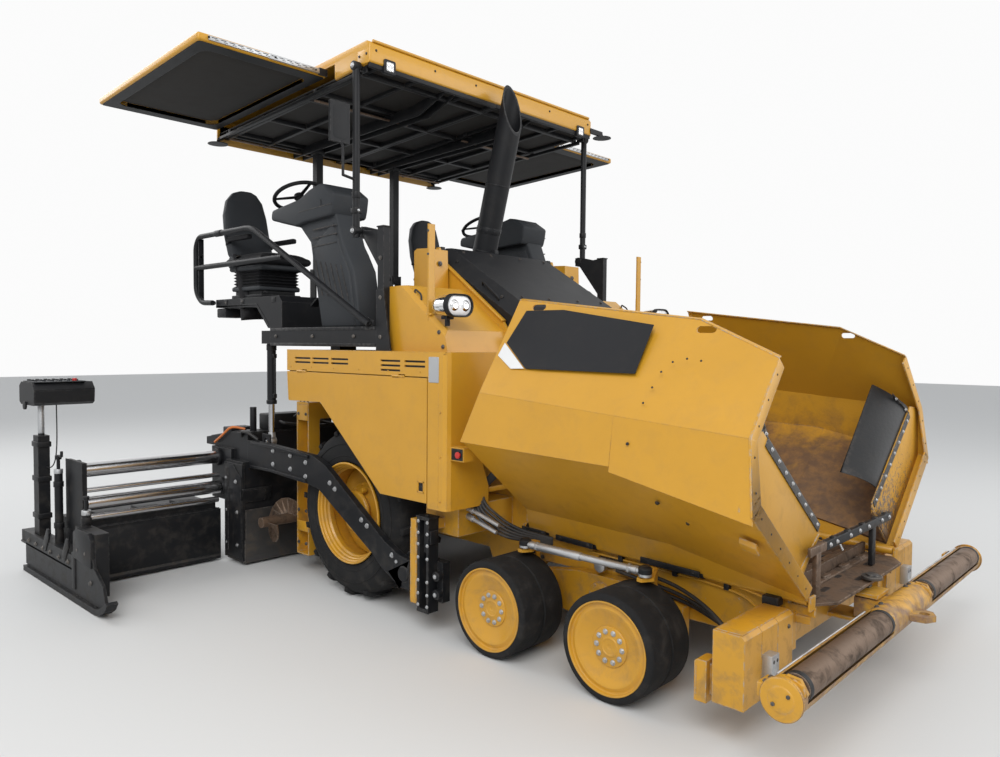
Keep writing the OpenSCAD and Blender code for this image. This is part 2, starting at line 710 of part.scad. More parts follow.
module screed_main() {
  at(black) {
    box([-ext_x + 20, -screed_x], [-screed_half + 12, screed_half - 12], [205, 820]);
    both() {
      box([-ext_x + 18, -screed_x + 10], [screed_half - 22, screed_half], [40, 800]);
      along_y([[-ext_x - 420, 900], [-ext_x - 420, 960], [-1420, 1040], [joint_x, 1040],
        [joint_x, 760], [-ext_x + 30, 760], [-ext_x + 30, 900]], [60, arm_in + arm_t]);
      // deflector plates over the auger's outer ends
      along_y([[-screed_x + 2, 500], [-screed_x + 2, 600], [-screed_x + 26, 600], [-screed_x + 10, 500]],
        [screed_half - 200, screed_half]);
      // frames that hold the guide tubes
      for (y = [300, 1180]) difference() {
        box([-1760, -1440], [y, y + 35], [480, 901]);
        rod_y(tube_hi[0], tube_hi[1], [y - 10, y + 50], tube_r + run);
        rod_y(tube_lo[0], tube_lo[1], [y - 10, y + 50], tube_r + run);
      }
    }
  }
}

module screed_plate() {
  at(steel) {
    box([-ext_x + 20, -screed_x + 12], [-screed_half + 22 + rest, screed_half - 22 - rest],
      [20, 205 - rest]);
    box([-screed_x + rest, -screed_x + 12], [-screed_half + 30, screed_half - 30], [204, 440]);
  }
}

module extension(s) {
  side(s) {
    box([-ext_x - 420, -ext_x], [screed_half + 25, ext_out], [20, 420]);
    box([-ext_x - 400, -ext_x - 20], [screed_half + 60, ext_out], [419, 470]);
    box([-1760, -1440], [ext_out - 30, ext_out], [400, 900]);
  }
}

module extension_right() { at(black) extension(-1); }
module extension_left() { at(black) extension(1); }

module ext_tubes(s) {
  side(s) {
    rod_y(tube_hi[0], tube_hi[1], [tube_in, ext_out - 30 - rest], tube_r);
    rod_y(tube_lo[0], tube_lo[1], [tube_in, ext_out - 30 - rest], tube_r);
  }
}

module ext_tubes_right() { at(bright) ext_tubes(-1); }
module ext_tubes_left() { at(bright) ext_tubes(1); }

module end_gate(s) {
  side(s) {
    // side plate, and the ski under it with its nose turned up
    along_y([[-2300, 50], [-2300, 300], [-1300, 300], [-1240, 420], [-980, 420], [-900, 280],
      [-760, 200], [-700, 50]], [ext_side - 10, ext_side + 10]);
    along_y([[-2300, 0], [-860, 0], [-760, 20], [-680, 62], [-640, 110], [-664, 122], [-720, 84],
      [-790, 54], [-860, 40], [-2300, 40]], [ext_side - 40, ext_side + 30]);
    box([-2290, -880], [ext_side - 6, ext_side + 6], [35, 60]);
    along_x([[ext_out, 200], [ext_out, 290], [ext_side, 290], [ext_side, 200], [ext_side - 20, 200],
      [ext_side - 20, 270], [ext_out + 20, 270], [ext_out + 20, 200]], [-2430, -1280]);
    box([-1280, -930], [ext_out + 14, ext_side - 7], [80, 500]);
    // upright with the screed's control box, and the jack before it
    box([-2190, -2080], [ext_out + 10, ext_out + 90], [289, 1045]);
    rod_z(-2135, ext_out + 50, [1044, 1290], 22);
    along_y([[-2290, 1300], [-2290, 1420], [-2240, 1450], [-1990, 1450], [-1930, 1390], [-1930, 1300],
      [-1970, 1280], [-2250, 1280]], [ext_out - 260, ext_out + 150]);
    for (x = [-1770, -1230]) {
      rod_z(x, ext_out + 50, [289, 820 - (x > -1500 ? 220 : 0)], 28);
      rod_z(x, ext_out + 50, [819 - (x > -1500 ? 220 : 0), 900 - (x > -1500 ? 220 : 0)], 12);
    }
  }
}

module end_gate_right() { at(black) end_gate(-1); }
module end_gate_left() { at(black) end_gate(1); }

// augers

module auger_frame() {
  at(black) {
    box([auger_x - 90, auger_x + 110], [-260, 260], [900, 1060]);
    along_x([[-60, 901], [-60, 400], [-30, 300], [30, 300], [60, 400], [60, 901]],
      [auger_x - 50, auger_x + 50]);
    rod_y(auger_x, auger_z, [-150, 150], 22);
    both() box([auger_x + 100, -640], [200, 260], [900, 1060]);
    box([-680, -520], [-260, 260], [1000, 1060]);
  }
}

module auger(s) {
  side(s) difference() {
    union() {
      rod_y(auger_x, auger_z, [75, 1200], 40);
      translate([auger_x, 0, auger_z]) flight(110, 260, 4, 30, auger_r, 12);
    }
    rod_y(auger_x, auger_z, [60, 160], 22 + run);
  }
}

module auger_right() { at(steel) auger(-1); }
module auger_left() { at(steel) auger(1); }

// lift cylinders

module lift_barrels() {
  at(black) both() difference() {
    union() {
      rod_z(lift_x, lift_y, [lift_top - 500, lift_top], barrel_r);
      rod_y(lift_x, lift_top, [lift_y - 28, lift_y + 28], 42);
    }
    rod_y(lift_x, lift_top, [lift_y - 60, lift_y + 60], 20 + run);
    rod_z(lift_x, lift_y, [lift_top - 501, lift_top - 60], 24 + run);
  }
}

module lift_rods() {
  at(bright) both() {
    rod_z(lift_x, lift_y, [lift_low, lift_top - 350], 24);
    rod_y(lift_x, lift_low, [lift_y - 26, lift_y + 26], 34);
    rod_y(lift_x, lift_low, [lift_y + 25, arm_in - 2], 14);
  }
}

// platform

module deck() {
  at(black) {
    difference() {
      box([-deck_rear, deck_front], [-1200, 1200], [deck_top - 20, deck_top]);
      // well that the stack's foot passes
      box([59.9, 330.1], [-140.1, 140.1], [deck_top - 30, deck_top + 10]);
    }
    both() {
      box([-deck_rear, deck_front], [1180, 1200], [deck_z, deck_top - 19]);
      along_y([[-1703, 2106], [-1703, 2040], [-1060, 2030], [-893, deck_top - 1],
        [-700, deck_top - 1], [-700, 2060], [-740, 2106]], [700, 1200]);
      // upright and fin that carry the front post
      box([430, 490], [1150, 1200], [hull_top, 2500]);
      along_y([[489, 2500], [380, 2490], [250, 2520], [190, 2520], [190, 2450], [240, 2440],
        [431, 2200], [489, 2200]], [1150, 1164]);
      along_y([[416, hull_top], [560, hull_top], [489, 2100], [416, 2100]], [1190, 1202]);
      rod_y(220, post_z, [1150, post_y + 26], pivot_r);
    }
    box([-deck_rear, -deck_rear + 20], [-1181, 1181], [deck_z, deck_top - 19]);
    box([deck_front - 20, deck_front], [-1181, 1181], [deck_z, deck_top - 19]);
    // legs down to the chassis and ears of the lift cylinders
    both() {
      box([-720, -600], [frame_half + 5, 760], [frame_top, deck_z + 1]);
      box([-720, -550], [frame_half + 5, 700], [1340, 1400]);
      box([-720, -600], [frame_half + 5, 760], [deck_z, deck_top - 19]);
      for (y = [lift_y - 62, lift_y + 50])
        box([lift_x - 40, -deck_rear + 1], [y, y + 12], [lift_top - 40, deck_top - 19]);
      rod_y(lift_x, lift_top, [lift_y - 55, lift_y + 55], 20);
    }
    // stand of the rear posts
    both() {
      rod_y(-rear_post_x, rear_post_z, [370, 470], pivot_r);
      for (y = [366, 460]) box([-rear_post_x - 40, -rear_post_x + 40], [y, y + 14],
        [2040, rear_post_z + 30]);
    }
    box([-1703, -700], [-701, 701], [2030, 2050]);
    box([-760, -700], [-701, 701], [deck_top - 1, 2050]);
  }
}

module rails() {
  at(black) both() {
    tube_path([[-1700, 1230, 2080], [-1895, 1230, 2087], [-1990, 1230, 2180],
      [-1990, 1230, 2560], [-1930, 1230, 2636], [-1080, 1230, 2636], [380, 1230, 1880]], 22);
    flat_bar([-1990, 1230, 2380], [-620, 1230, 2380], 16);
    for (p = [[-1720, 2081], [370, 1885]]) rod_y(p[0], p[1], [1200 + rest, 1228], 15);
  }
}

module consoles() {
  at(grey) both() {
    along_y([[-330, deck_top], [-470, 2480], [-600, 2600], [-943, 2678], [-930, 2760],
      [-560, 2800], [-420, 2860], [-300, 2880], [-130, 2790], [-150, 2650], [-60, 2400],
      [60, 2250], [120, deck_top]], [900, 1120]);
    along_y([[-943, 2678], [-930, 2760], [-560, 2800], [-420, 2860], [-300, 2880],
      [-130, 2790], [-160, 2640], [-500, 2620], [-600, 2600]], [830, 1150]);
    translate([-800, 990, 2870]) rotate([0, -25, 0])
      rotate_extrude($fn = 32) polygon([[169, -7], [178, -15], [192, -15], [201, -7], [201, 7],
        [192, 15], [178, 15], [169, 7]]);
    bar([-730, 990, 2742], [-800, 990, 2870], 30);
    translate([-800, 990, 2870]) rotate([0, -25, 0]) for (a = [0, 120, 240])
      rotate([0, 0, a]) translate([0, -14, -5]) cube([184, 28, 10]);
  }
}

module stack() {
  at(black) {
    difference() {
      union() {
        bar([190, 0, 2405], [620, 0, 4000], 92, 32);
        box([60, 330], [-140, 140], [2390, 2425]);
      }
      bar([230, 0, 2560], [630, 0, 4040], 80, 32);
      // slanted mouth that faces forward
      along_y([[700, 3060], [560, 3130], [420, 3746], [420, 4200], [1100, 4200], [1100, 3060]],
        [-300, 300]);
      box([0, 900], [-300, 300], [3746, 4200]);
    }
    box([60, 330], [-140, 140], [1800, 2391]);
  }
}

// the hood's form, or what is hollow in it when drawn in by t
module hood_form(t) {
  difference() {
    along_y([[hood_rear - 40, deck_top + gap - t], [hood_rear - 40, hood_high - t],
      [hood_rear - t / 4, hood_high - t],
      [hood_front - t / 4, hood_low - t], [hood_front + 20 - t, hood_low - 30 - t / 2],
      [hood_front + 20 - t, 1850 - t], [deck_front + gap, 1850 - t],
      [deck_front + gap, deck_top + gap - t]], [-594 + t, 594 - t]);
    both() translate([hood_rear, 510, hood_high]) rotate([0, hood_slope, 0]) rotate([45, 0, 0])
      box([-300, 1000], [-t, 400], [-400, 400]);
  }
}

module hood() {
  at(black) difference() {
    union() {
      difference() {
        hood_form(0);
        hood_form(12);
        box([hood_rear - 50, hood_rear - 39], [-500, 500], [1800, hood_high - 12]);
      }
      both() along_y([[hood_rear - 42, hood_high - 60], [hood_rear - 42, hood_high + 4],
        [hood_rear - 18, hood_high + 4], [hood_rear - 10, hood_high - 60]], [560, 594]);
    }
    both() rod_y(hood_rear - 30, hood_high - 7, [550, 600], 6 + run);
  }
}

// doors

module door(s) {
  side(s) difference() {
    union() {
      along_y([[-548, seam_z - 4], [-530, 1346], [-134, 1354], [522, 813], [962, 813], [962, seam_z - 4]],
        [hull_half - skin, hull_half]);
      for (x = door_hinges) rod_x(hull_half, seam_z, [x + 62, x + 118], 6);
      // latch plate inside and folded edge along the slope
      box([870, 950], [hull_half - skin - 14, hull_half - skin + 1], [860, 950]);
    }
    for (x = door_hinges) {
      box([x - 2, x + 62], [hull_half - skin - 1, hull_half + 10], [seam_z - 10, seam_z + 10]);
      rod_x(hull_half, seam_z, [x + 50, x + 130], 3 + run);
    }
    box([890, 930], [hull_half - 14, hull_half + 5], [880, 930]);
  }
}

module door_right() { at(yellow) door(-1); }
module door_left() { at(yellow) door(1); }

// seats

module seat(s) {
  side(s) {
    box([-1520, -1060], [810, 1170], [2106 + rest, 2170]);
    box([-1500, -1060], [800, 1180], [2169, 2340]);
    box([-1540, -1000], [775, 1195], [2339, 2460]);
    along_y([[-1540, 2400], [-1440, 2400], [-1590, 3000], [-1770, 2990], [-1780, 2800]],
      [787, 1190]);
    box([-1545, -1150], [745, 790], [2560, 2610]);
  }
}

module seat_right() { at(rubber) seat(-1); }
module seat_left() { at(rubber) seat(1); }

// canopy

module canopy_front_posts() {
  at(black) {
    both() difference() {
      rod_z(220, post_y, [post_z - 40, post_z + post_len + 20], post_r);
      rod_y(220, post_z, [1100, 1300], pivot_r + run);
      rod_y(220, post_z + post_len, [1100, 1300], pivot_r + run);
    }
    // mirror on its bent arm
    tube_path([[220, -post_y - 10, post_z + 330], [240, -1330, post_z + 340], [240, -1330, post_z + 520],
      [215, -1330, post_z + 560]], 9);
    box([205, 225], [-1415, -1265], [post_z + 545, post_z + 800]);
  }
}

module canopy_rear_posts() {
  at(black) both() difference() {
    box([-rear_post_x - 30, -rear_post_x + 30], [388, 452],
      [rear_post_z - 40, rear_post_z + post_len + 20]);
    rod_y(-rear_post_x, rear_post_z, [380, 460], pivot_r + run);
    rod_y(-rear_post_x, rear_post_z + post_len, [380, 460], pivot_r + run);
  }
}

// heights below the roof's top
function rt(d) = roof_top - d;

module canopy_roof() {
  at(yellow) {
    difference() {
      along_y([[roof_front, rt(147)], [roof_front, rt(34)], [roof_front - 14, rt(12)],
        [roof_front - 40, rt(0)], [-roof_rear + 60, rt(100)], [-roof_rear + 16, rt(120)],
        [-roof_rear, rt(160)], [-roof_rear, rt(277)]], [-roof_half, roof_half]);
      // chamfered side edges, hollow and the ends' wide gaps that the wings slide in
      both() translate([roof_front - 40, roof_half, rt(0)]) rotate([0, -2.95, 0]) rotate([45, 0, 0])
        box([-2400, 300], [-22, 100], [-200, 200]);
      along_y([[roof_front - 20, rt(177)], [roof_front - 20, rt(47)], [-roof_rear + 20, rt(147)],
        [-roof_rear + 20, rt(327)]], [-roof_half + 20, roof_half - 20]);
      along_y([[-60, rt(207)], [-60, rt(77)], [-1690, rt(157)], [-1690, rt(307)]], [-1300, 1300]);
      // seats of the lamps in the front fascia
      both() box([roof_front - 30, roof_front + 10], [982, 1064], [rt(160), rt(106)]);
    }
    both() {
      along_y([[190, rt(192)], [260, rt(192)], [260, rt(42)], [190, rt(47)]], [1146, 1165]);
      rod_y(220, post_z + post_len, [1150, post_y + 26], pivot_r);
      // beams and cross rails that carry the wings
      for (y = [366, 460]) along_y([[roof_front - 15, rt(107)], [roof_front - 15, rt(147)], [-20, rt(267)],
        [-roof_rear + 10, rt(322)], [-roof_rear + 10, rt(258)], [-90, rt(190)]], [y, y + 14]);
      box([-350, -310], [300, 1160], [rt(208), rt(168.7)]);
      box([-1560, -1520], [300, 1160], [rt(269), rt(228.4)]);
      rod_y(-rear_post_x, rear_post_z + post_len, [370, 470], pivot_r);
    }
  }
}

// square work lamps in the front fascia
module canopy_lamps() {
  at(black) both() difference() {
    box([roof_front - 29, roof_front + 12], [983, 1063], [rt(184), rt(106.5)]);
    box([roof_front + 4, roof_front + 13], [990, 1056], [rt(177), rt(114)]);
  }
}

module canopy_wing(s) {
  side(s) difference() {
    along_y([[-120, rt(157)], [-120, rt(107)], [-1660, rt(183)], [-1660, rt(233)]], [1200, 2110]);
    // two hollows between the frame's bars, open below
    for (x = [[-160, -870], [-910, -1620]])
      along_y([[x[0], rt(300)], [x[0], rt(125 + (-x[0] - 120) * 0.0494)],
        [x[1], rt(125 + (-x[1] - 120) * 0.0494)], [x[1], rt(300)]], [1250, 2070]);
  }
}

module canopy_wing_right() { at(yellow) canopy_wing(-1); }
module canopy_wing_left() { at(yellow) canopy_wing(1); }

main_frame();
hull();
engine_block();
conveyor();
bogie_beams();
deck();
rails();
consoles();
stack();
tow_tracks();
auger_frame();
hood();
door_right();
door_left();
seat_right();
seat_left();
drive_rim_right();
drive_tyre_right();
drive_rim_left();
drive_tyre_left();
knuckle_rear_right();
knuckle_front_right();
knuckle_rear_left();
knuckle_front_left();
front_rim_rear_right();
front_rim_front_right();
front_rim_rear_left();
front_rim_front_left();
front_tyre_rear_right();
front_tyre_front_right();
front_tyre_rear_left();
front_tyre_front_left();
tie_rod_right();
tie_rod_left();
wing_right();
wing_left();
push_beam();
push_roller_right();
push_roller_left();
tow_points();
tow_arms();
screed_main();
screed_plate();
extension_right();
extension_left();
ext_tubes_right();
ext_tubes_left();
end_gate_right();
end_gate_left();
auger_right();
auger_left();
lift_barrels();
lift_rods();
canopy_front_posts();
canopy_rear_posts();
canopy_roof();
canopy_wing_right();
canopy_wing_left();
headlamps();
canopy_lamps();
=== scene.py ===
# Wheeled asphalt paver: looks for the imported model.
import bmesh
import bpy
import json
import math
from mathutils import Matrix, Vector

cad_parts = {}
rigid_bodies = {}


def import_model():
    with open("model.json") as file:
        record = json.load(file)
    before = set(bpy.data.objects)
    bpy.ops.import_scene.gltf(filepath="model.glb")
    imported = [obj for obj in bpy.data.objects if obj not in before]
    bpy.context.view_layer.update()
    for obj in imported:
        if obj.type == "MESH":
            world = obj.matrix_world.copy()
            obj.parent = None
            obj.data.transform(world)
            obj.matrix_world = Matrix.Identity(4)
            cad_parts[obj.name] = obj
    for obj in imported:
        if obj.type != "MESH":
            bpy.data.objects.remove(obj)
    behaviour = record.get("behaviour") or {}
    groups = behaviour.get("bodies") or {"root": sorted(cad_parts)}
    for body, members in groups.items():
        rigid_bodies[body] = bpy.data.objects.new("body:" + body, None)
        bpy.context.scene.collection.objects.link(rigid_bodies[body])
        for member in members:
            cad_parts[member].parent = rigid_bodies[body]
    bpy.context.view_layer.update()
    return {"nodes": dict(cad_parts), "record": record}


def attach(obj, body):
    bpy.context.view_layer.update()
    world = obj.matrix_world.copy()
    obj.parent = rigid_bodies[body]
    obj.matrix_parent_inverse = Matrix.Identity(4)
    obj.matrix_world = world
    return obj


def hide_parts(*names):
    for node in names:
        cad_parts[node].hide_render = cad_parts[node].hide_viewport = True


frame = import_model()

# the machine's drive axle stands at this X in the model's frame
axleX = -0.475

# camera

cameraSetup = {
    "place": (4.42, -4.311, 1.752),   # from the drive axle, metres
    "yaw": 133.148,
    "pitch": -2.413,
    "roll": 0.504,
    "lens": 28.185,
}


def addCamera():
    yaw = math.radians(cameraSetup["yaw"])
    pitch = math.radians(cameraSetup["pitch"])
    roll = math.radians(cameraSetup["roll"])
    ahead = Vector((math.cos(yaw) * math.cos(pitch), math.sin(yaw) * math.cos(pitch), math.sin(pitch)))
    right = Vector((math.sin(yaw), -math.cos(yaw), 0))
    up = right.cross(ahead)
    rightRolled = math.cos(roll) * right + math.sin(roll) * up
    upRolled = -math.sin(roll) * right + math.cos(roll) * up
    turn = Matrix((rightRolled, upRolled, -ahead)).transposed()
    x, y, z = cameraSetup["place"]
    bpy.ops.object.camera_add(location=(x + axleX, y, z), rotation=turn.to_euler())
    camera = bpy.context.object
    camera.name = "photo_camera"
    camera.data.lens = cameraSetup["lens"]
    camera.data.sensor_width = 36
    camera.data.clip_end = 100
    bpy.context.scene.camera = camera


# light and floor

lightSetup = {"key": {"at": (6, -9, 9), "aim": (0, 0, 1), "size": 9, "watts": 1000},
    "fill": {"at": (9, 6, 6), "aim": (0, 0, 1), "size": 9, "watts": 420},
    "back": {"at": (-9, -3, 8), "aim": (0, 0, 1), "size": 8, "watts": 380}, "worldStrength": 0.62,
    "floorColour": (0.66, 0.66, 0.65, 1), "floorHalf": 40, }


def addLamp(name, setup):
    at = Vector(setup["at"])
    aim = Vector(setup["aim"]) - at
    bpy.ops.object.light_add(type="AREA", location=at, rotation=aim.to_track_quat("-Z", "Y").to_euler())
    lamp = bpy.context.object
    lamp.name = name
    lamp.data.shape = "DISK"
    lamp.data.size = setup["size"]
    lamp.data.energy = setup["watts"]


def lightOrWhite(nodes, links, plain, pale):
    # what the camera, metal and glass look at directly is pale, all else sees the plain level
    path = nodes.new("ShaderNodeLightPath")
    first = nodes.new("ShaderNodeMath")
    first.operation = "MAXIMUM"
    links.new(path.outputs["Is Camera Ray"], first.inputs[0])
    links.new(path.outputs["Is Glossy Ray"], first.inputs[1])
    second = nodes.new("ShaderNodeMath")
    second.operation = "MAXIMUM"
    links.new(first.outputs[0], second.inputs[0])
    links.new(path.outputs["Is Transmission Ray"], second.inputs[1])
    mix = nodes.new("ShaderNodeMixShader")
    links.new(second.outputs[0], mix.inputs["Fac"])
    links.new(plain, mix.inputs[1])
    links.new(pale, mix.inputs[2])
    return mix.outputs[0]


def addWorld():
    world = bpy.data.worlds.new("studio")
    bpy.context.scene.world = world
    world.use_nodes = True
    nodes, links = world.node_tree.nodes, world.node_tree.links
    nodes.clear()
    plain = nodes.new("ShaderNodeBackground")
    plain.inputs["Color"].default_value = (0.93, 0.96, 1.0, 1)
    plain.inputs["Strength"].default_value = lightSetup["worldStrength"]
    pale = nodes.new("ShaderNodeBackground")
    pale.inputs["Color"].default_value = (1, 1, 1, 1)
    pale.inputs["Strength"].default_value = 0.97
    out = nodes.new("ShaderNodeOutputWorld")
    links.new(lightOrWhite(nodes, links, plain.outputs[0], pale.outputs[0]), out.inputs["Surface"])


def addFloor():
    half = lightSetup["floorHalf"]
    bpy.ops.mesh.primitive_plane_add(size=half * 2, location=(0, 0, -0.002))
    floor = bpy.context.object
    floor.name = "floor"
    paint = bpy.data.materials.new("floor_paint")
    paint.use_nodes = True
    shader = paint.node_tree.nodes["Principled BSDF"]
    shader.inputs["Base Color"].default_value = lightSetup["floorColour"]
    shader.inputs["Roughness"].default_value = 0.75
    floor.data.materials.append(paint)


bpy.context.scene.view_settings.view_transform = "Standard"
addCamera()
addWorld()
for lampName in ("key", "fill", "back"):
    addLamp("lamp_" + lampName, lightSetup[lampName])
addFloor()
print("camera, light and floor are in place")

# shared effects for the materials


def newGroup(name, inputs, outputs):
    group = bpy.data.node_groups.new(name, "ShaderNodeTree")
    for label, kind, value in inputs:
        socket = group.interface.new_socket(label, in_out="INPUT", socket_type=kind)
        socket.default_value = value
    for label, kind in outputs:
        group.interface.new_socket(label, in_out="OUTPUT", socket_type=kind)
    return group, group.nodes.new("NodeGroupInput"), group.nodes.new("NodeGroupOutput")


def noise(nodes, links, where, scale, detail=4, rough=0.55, distort=0.0):
    node = nodes.new("ShaderNodeTexNoise")
    node.inputs["Scale"].default_value = scale
    node.inputs["Detail"].default_value = detail
    node.inputs["Roughness"].default_value = rough
    node.inputs["Distortion"].default_value = distort
    links.new(where, node.inputs["Vector"])
    return node.outputs["Fac"]


def ramp(nodes, links, value, low, high):
    node = nodes.new("ShaderNodeMapRange")
    node.interpolation_type = "SMOOTHSTEP"
    node.inputs["From Min"].default_value = low
    node.inputs["From Max"].default_value = high
    links.new(value, node.inputs["Value"])
    return node.outputs["Result"]


def maths(nodes, links, operation, first, second):
    node = nodes.new("ShaderNodeMath")
    node.operation = operation
    node.use_clamp = operation in ("ADD", "SUBTRACT", "MULTIPLY")
    for index, value in enumerate((first, second)):
        if isinstance(value, (int, float)):
            node.inputs[index].default_value = value
        else:
            links.new(value, node.inputs[index])
    return node.outputs[0]


def blendColour(nodes, links, amount, under, over, kind="MIX"):
    node = nodes.new("ShaderNodeMix")
    node.data_type = "RGBA"
    node.blend_type = kind
    for socket, value in ((node.inputs[0], amount), (node.inputs[6], under), (node.inputs[7], over)):
        if isinstance(value, (int, float)):
            socket.default_value = value
        elif isinstance(value, tuple):
            socket.default_value = value
        else:
            links.new(value, socket)
    return node.outputs[2]


def makeWearGroup():
    # bare edges, chips and dirt that hangs low
    group, given, out = newGroup("paintWear", [("Colour", "NodeSocketColor", (1, 1, 1, 1)),
        ("Bare Colour", "NodeSocketColor", (0.25, 0.2, 0.16, 1)),
        ("Dirt Colour", "NodeSocketColor", (0.14, 0.11, 0.08, 1)), ("Edge Wear", "NodeSocketFloat", 0.5),
        ("Chips", "NodeSocketFloat", 0.2), ("Dirt", "NodeSocketFloat", 0.3), ("Gloss", "NodeSocketFloat", 0.35),
        ("Round", "NodeSocketFloat", 0.004), ], [("Colour", "NodeSocketColor"), ("Roughness", "NodeSocketFloat"),
        ("Bare", "NodeSocketFloat"), ("Normal", "NodeSocketVector")])
    nodes, links = group.nodes, group.links
    place = nodes.new("ShaderNodeTexCoord").outputs["Object"]
    surface = nodes.new("ShaderNodeNewGeometry")
    rounded = nodes.new("ShaderNodeBevel")
    rounded.samples = 4
    links.new(given.outputs["Round"], rounded.inputs["Radius"])
    wide = nodes.new("ShaderNodeBevel")
    wide.samples = 4
    wide.inputs["Radius"].default_value = 0.012
    dot = nodes.new("ShaderNodeVectorMath")
    dot.operation = "DOT_PRODUCT"
    links.new(wide.outputs[0], dot.inputs[0])
    links.new(surface.outputs["Normal"], dot.inputs[1])
    edge = ramp(nodes, links, dot.outputs["Value"], 0.995, 0.86)
    fine = noise(nodes, links, place, 38, 6, 0.7)
    broad = noise(nodes, links, place, 3.2, 5, 0.6)
    grime = noise(nodes, links, place, 9, 6, 0.65, 0.4)
    # edges wear where the fine noise is high
    worn = maths(nodes, links, "MULTIPLY", edge, ramp(nodes, links, fine, 0.42, 0.6))
    worn = maths(nodes, links, "MULTIPLY", worn, given.outputs["Edge Wear"])
    spots = maths(nodes, links, "MULTIPLY", ramp(nodes, links, fine, 0.66, 0.7), ramp(nodes, links, broad, 0.5, 0.6))
    spots = maths(nodes, links, "MULTIPLY", spots, given.outputs["Chips"])
    bare = maths(nodes, links, "MAXIMUM", worn, spots)
    # dirt gathers in patches and low on the machine
    split = nodes.new("ShaderNodeSeparateXYZ")
    links.new(place, split.inputs[0])
    low = ramp(nodes, links, split.outputs["Z"], 1.3, 0.1)
    patch = ramp(nodes, links, grime, 0.45, 0.72)
    dirt = maths(nodes, links, "MULTIPLY", patch, maths(nodes, links, "ADD",
        maths(nodes, links, "MULTIPLY", low, 0.8), 0.25))
    dirt = maths(nodes, links, "MULTIPLY", dirt, given.outputs["Dirt"])
    tone = nodes.new("ShaderNodeHueSaturation")
    links.new(given.outputs["Colour"], tone.inputs["Color"])
    shade = nodes.new("ShaderNodeMapRange")
    links.new(broad, shade.inputs["Value"])
    shade.inputs["To Min"].default_value = 0.9
    shade.inputs["To Max"].default_value = 1.08
    links.new(shade.outputs[0], tone.inputs["Value"])
    colour = blendColour(nodes, links, dirt, tone.outputs[0], given.outputs["Dirt Colour"])
    colour = blendColour(nodes, links, bare, colour, given.outputs["Bare Colour"])
    links.new(colour, out.inputs["Colour"])
    rough = maths(nodes, links, "ADD", given.outputs["Gloss"], maths(nodes, links, "MULTIPLY", dirt, 0.5))
    rough = maths(nodes, links, "ADD", rough, maths(nodes, links, "MULTIPLY", broad, 0.08))
    links.new(rough, out.inputs["Roughness"])
    links.new(bare, out.inputs["Bare"])
    links.new(rounded.outputs[0], out.inputs["Normal"])
    return group


wearGroup = makeWearGroup()


def addStain(nodes, links, colour, stain):
    # a second colour that fades out between two heights, broken up by noise
    place = nodes.new("ShaderNodeTexCoord").outputs["Object"]
    split = nodes.new("ShaderNodeSeparateXYZ")
    links.new(place, split.inputs[0])
    patch = noise(nodes, links, place, stain["scale"], 8, 0.7, 0.3)
    wobble = nodes.new("ShaderNodeMath")
    wobble.operation = "MULTIPLY_ADD"
    links.new(patch, wobble.inputs[0])
    wobble.inputs[1].default_value = stain["wobble"]
    links.new(split.outputs["Z"], wobble.inputs[2])
    mask = ramp(nodes, links, wobble.outputs[0], stain["top"], stain["foot"])
    tint = blendColour(nodes, links, ramp(nodes, links, noise(nodes, links, place, 14, 8, 0.7), 0.35, 0.68),
        (*stain["colour"], 1), (*stain["second"], 1))
    return blendColour(nodes, links, mask, colour, tint)


def makeFinish(name, colour, gloss, bare=(0.25, 0.2, 0.16), dirtColour=(0.14, 0.11, 0.08), edge=0.5, chips=0.2,
        dirt=0.3, rounding=0.004, metal=0.0, bump=0.0, bumpScale=60, coat=0.0, stain=None, shine=0.5):
    finish = bpy.data.materials.new(name)
    finish.use_nodes = True
    nodes, links = finish.node_tree.nodes, finish.node_tree.links
    shader = nodes["Principled BSDF"]
    wear = nodes.new("ShaderNodeGroup")
    wear.node_tree = wearGroup
    wear.inputs["Colour"].default_value = (*colour, 1)
    wear.inputs["Bare Colour"].default_value = (*bare, 1)
    wear.inputs["Dirt Colour"].default_value = (*dirtColour, 1)
    wear.inputs["Edge Wear"].default_value = edge
    wear.inputs["Chips"].default_value = chips
    wear.inputs["Dirt"].default_value = dirt
    wear.inputs["Gloss"].default_value = gloss
    wear.inputs["Round"].default_value = rounding
    tone = wear.outputs["Colour"]
    if stain:
        tone = addStain(nodes, links, tone, stain)
    links.new(tone, shader.inputs["Base Color"])
    links.new(wear.outputs["Roughness"], shader.inputs["Roughness"])
    shader.inputs["Metallic"].default_value = metal
    shader.inputs["Specular IOR Level"].default_value = shine
    shader.inputs["Coat Weight"].default_value = coat
    if coat:
        shader.inputs["Coat Roughness"].default_value = 0.12
    place = nodes.new("ShaderNodeTexCoord").outputs["Object"]
    lump = nodes.new("ShaderNodeBump")
    lump.inputs["Strength"].default_value = 1.0
    lump.inputs["Distance"].default_value = bump if bump else 0.0004
    links.new(noise(nodes, links, place, bumpScale, 4, 0.6), lump.inputs["Height"])
    links.new(wear.outputs["Normal"], lump.inputs["Normal"])
    links.new(lump.outputs["Normal"], shader.inputs["Normal"])
    return finish


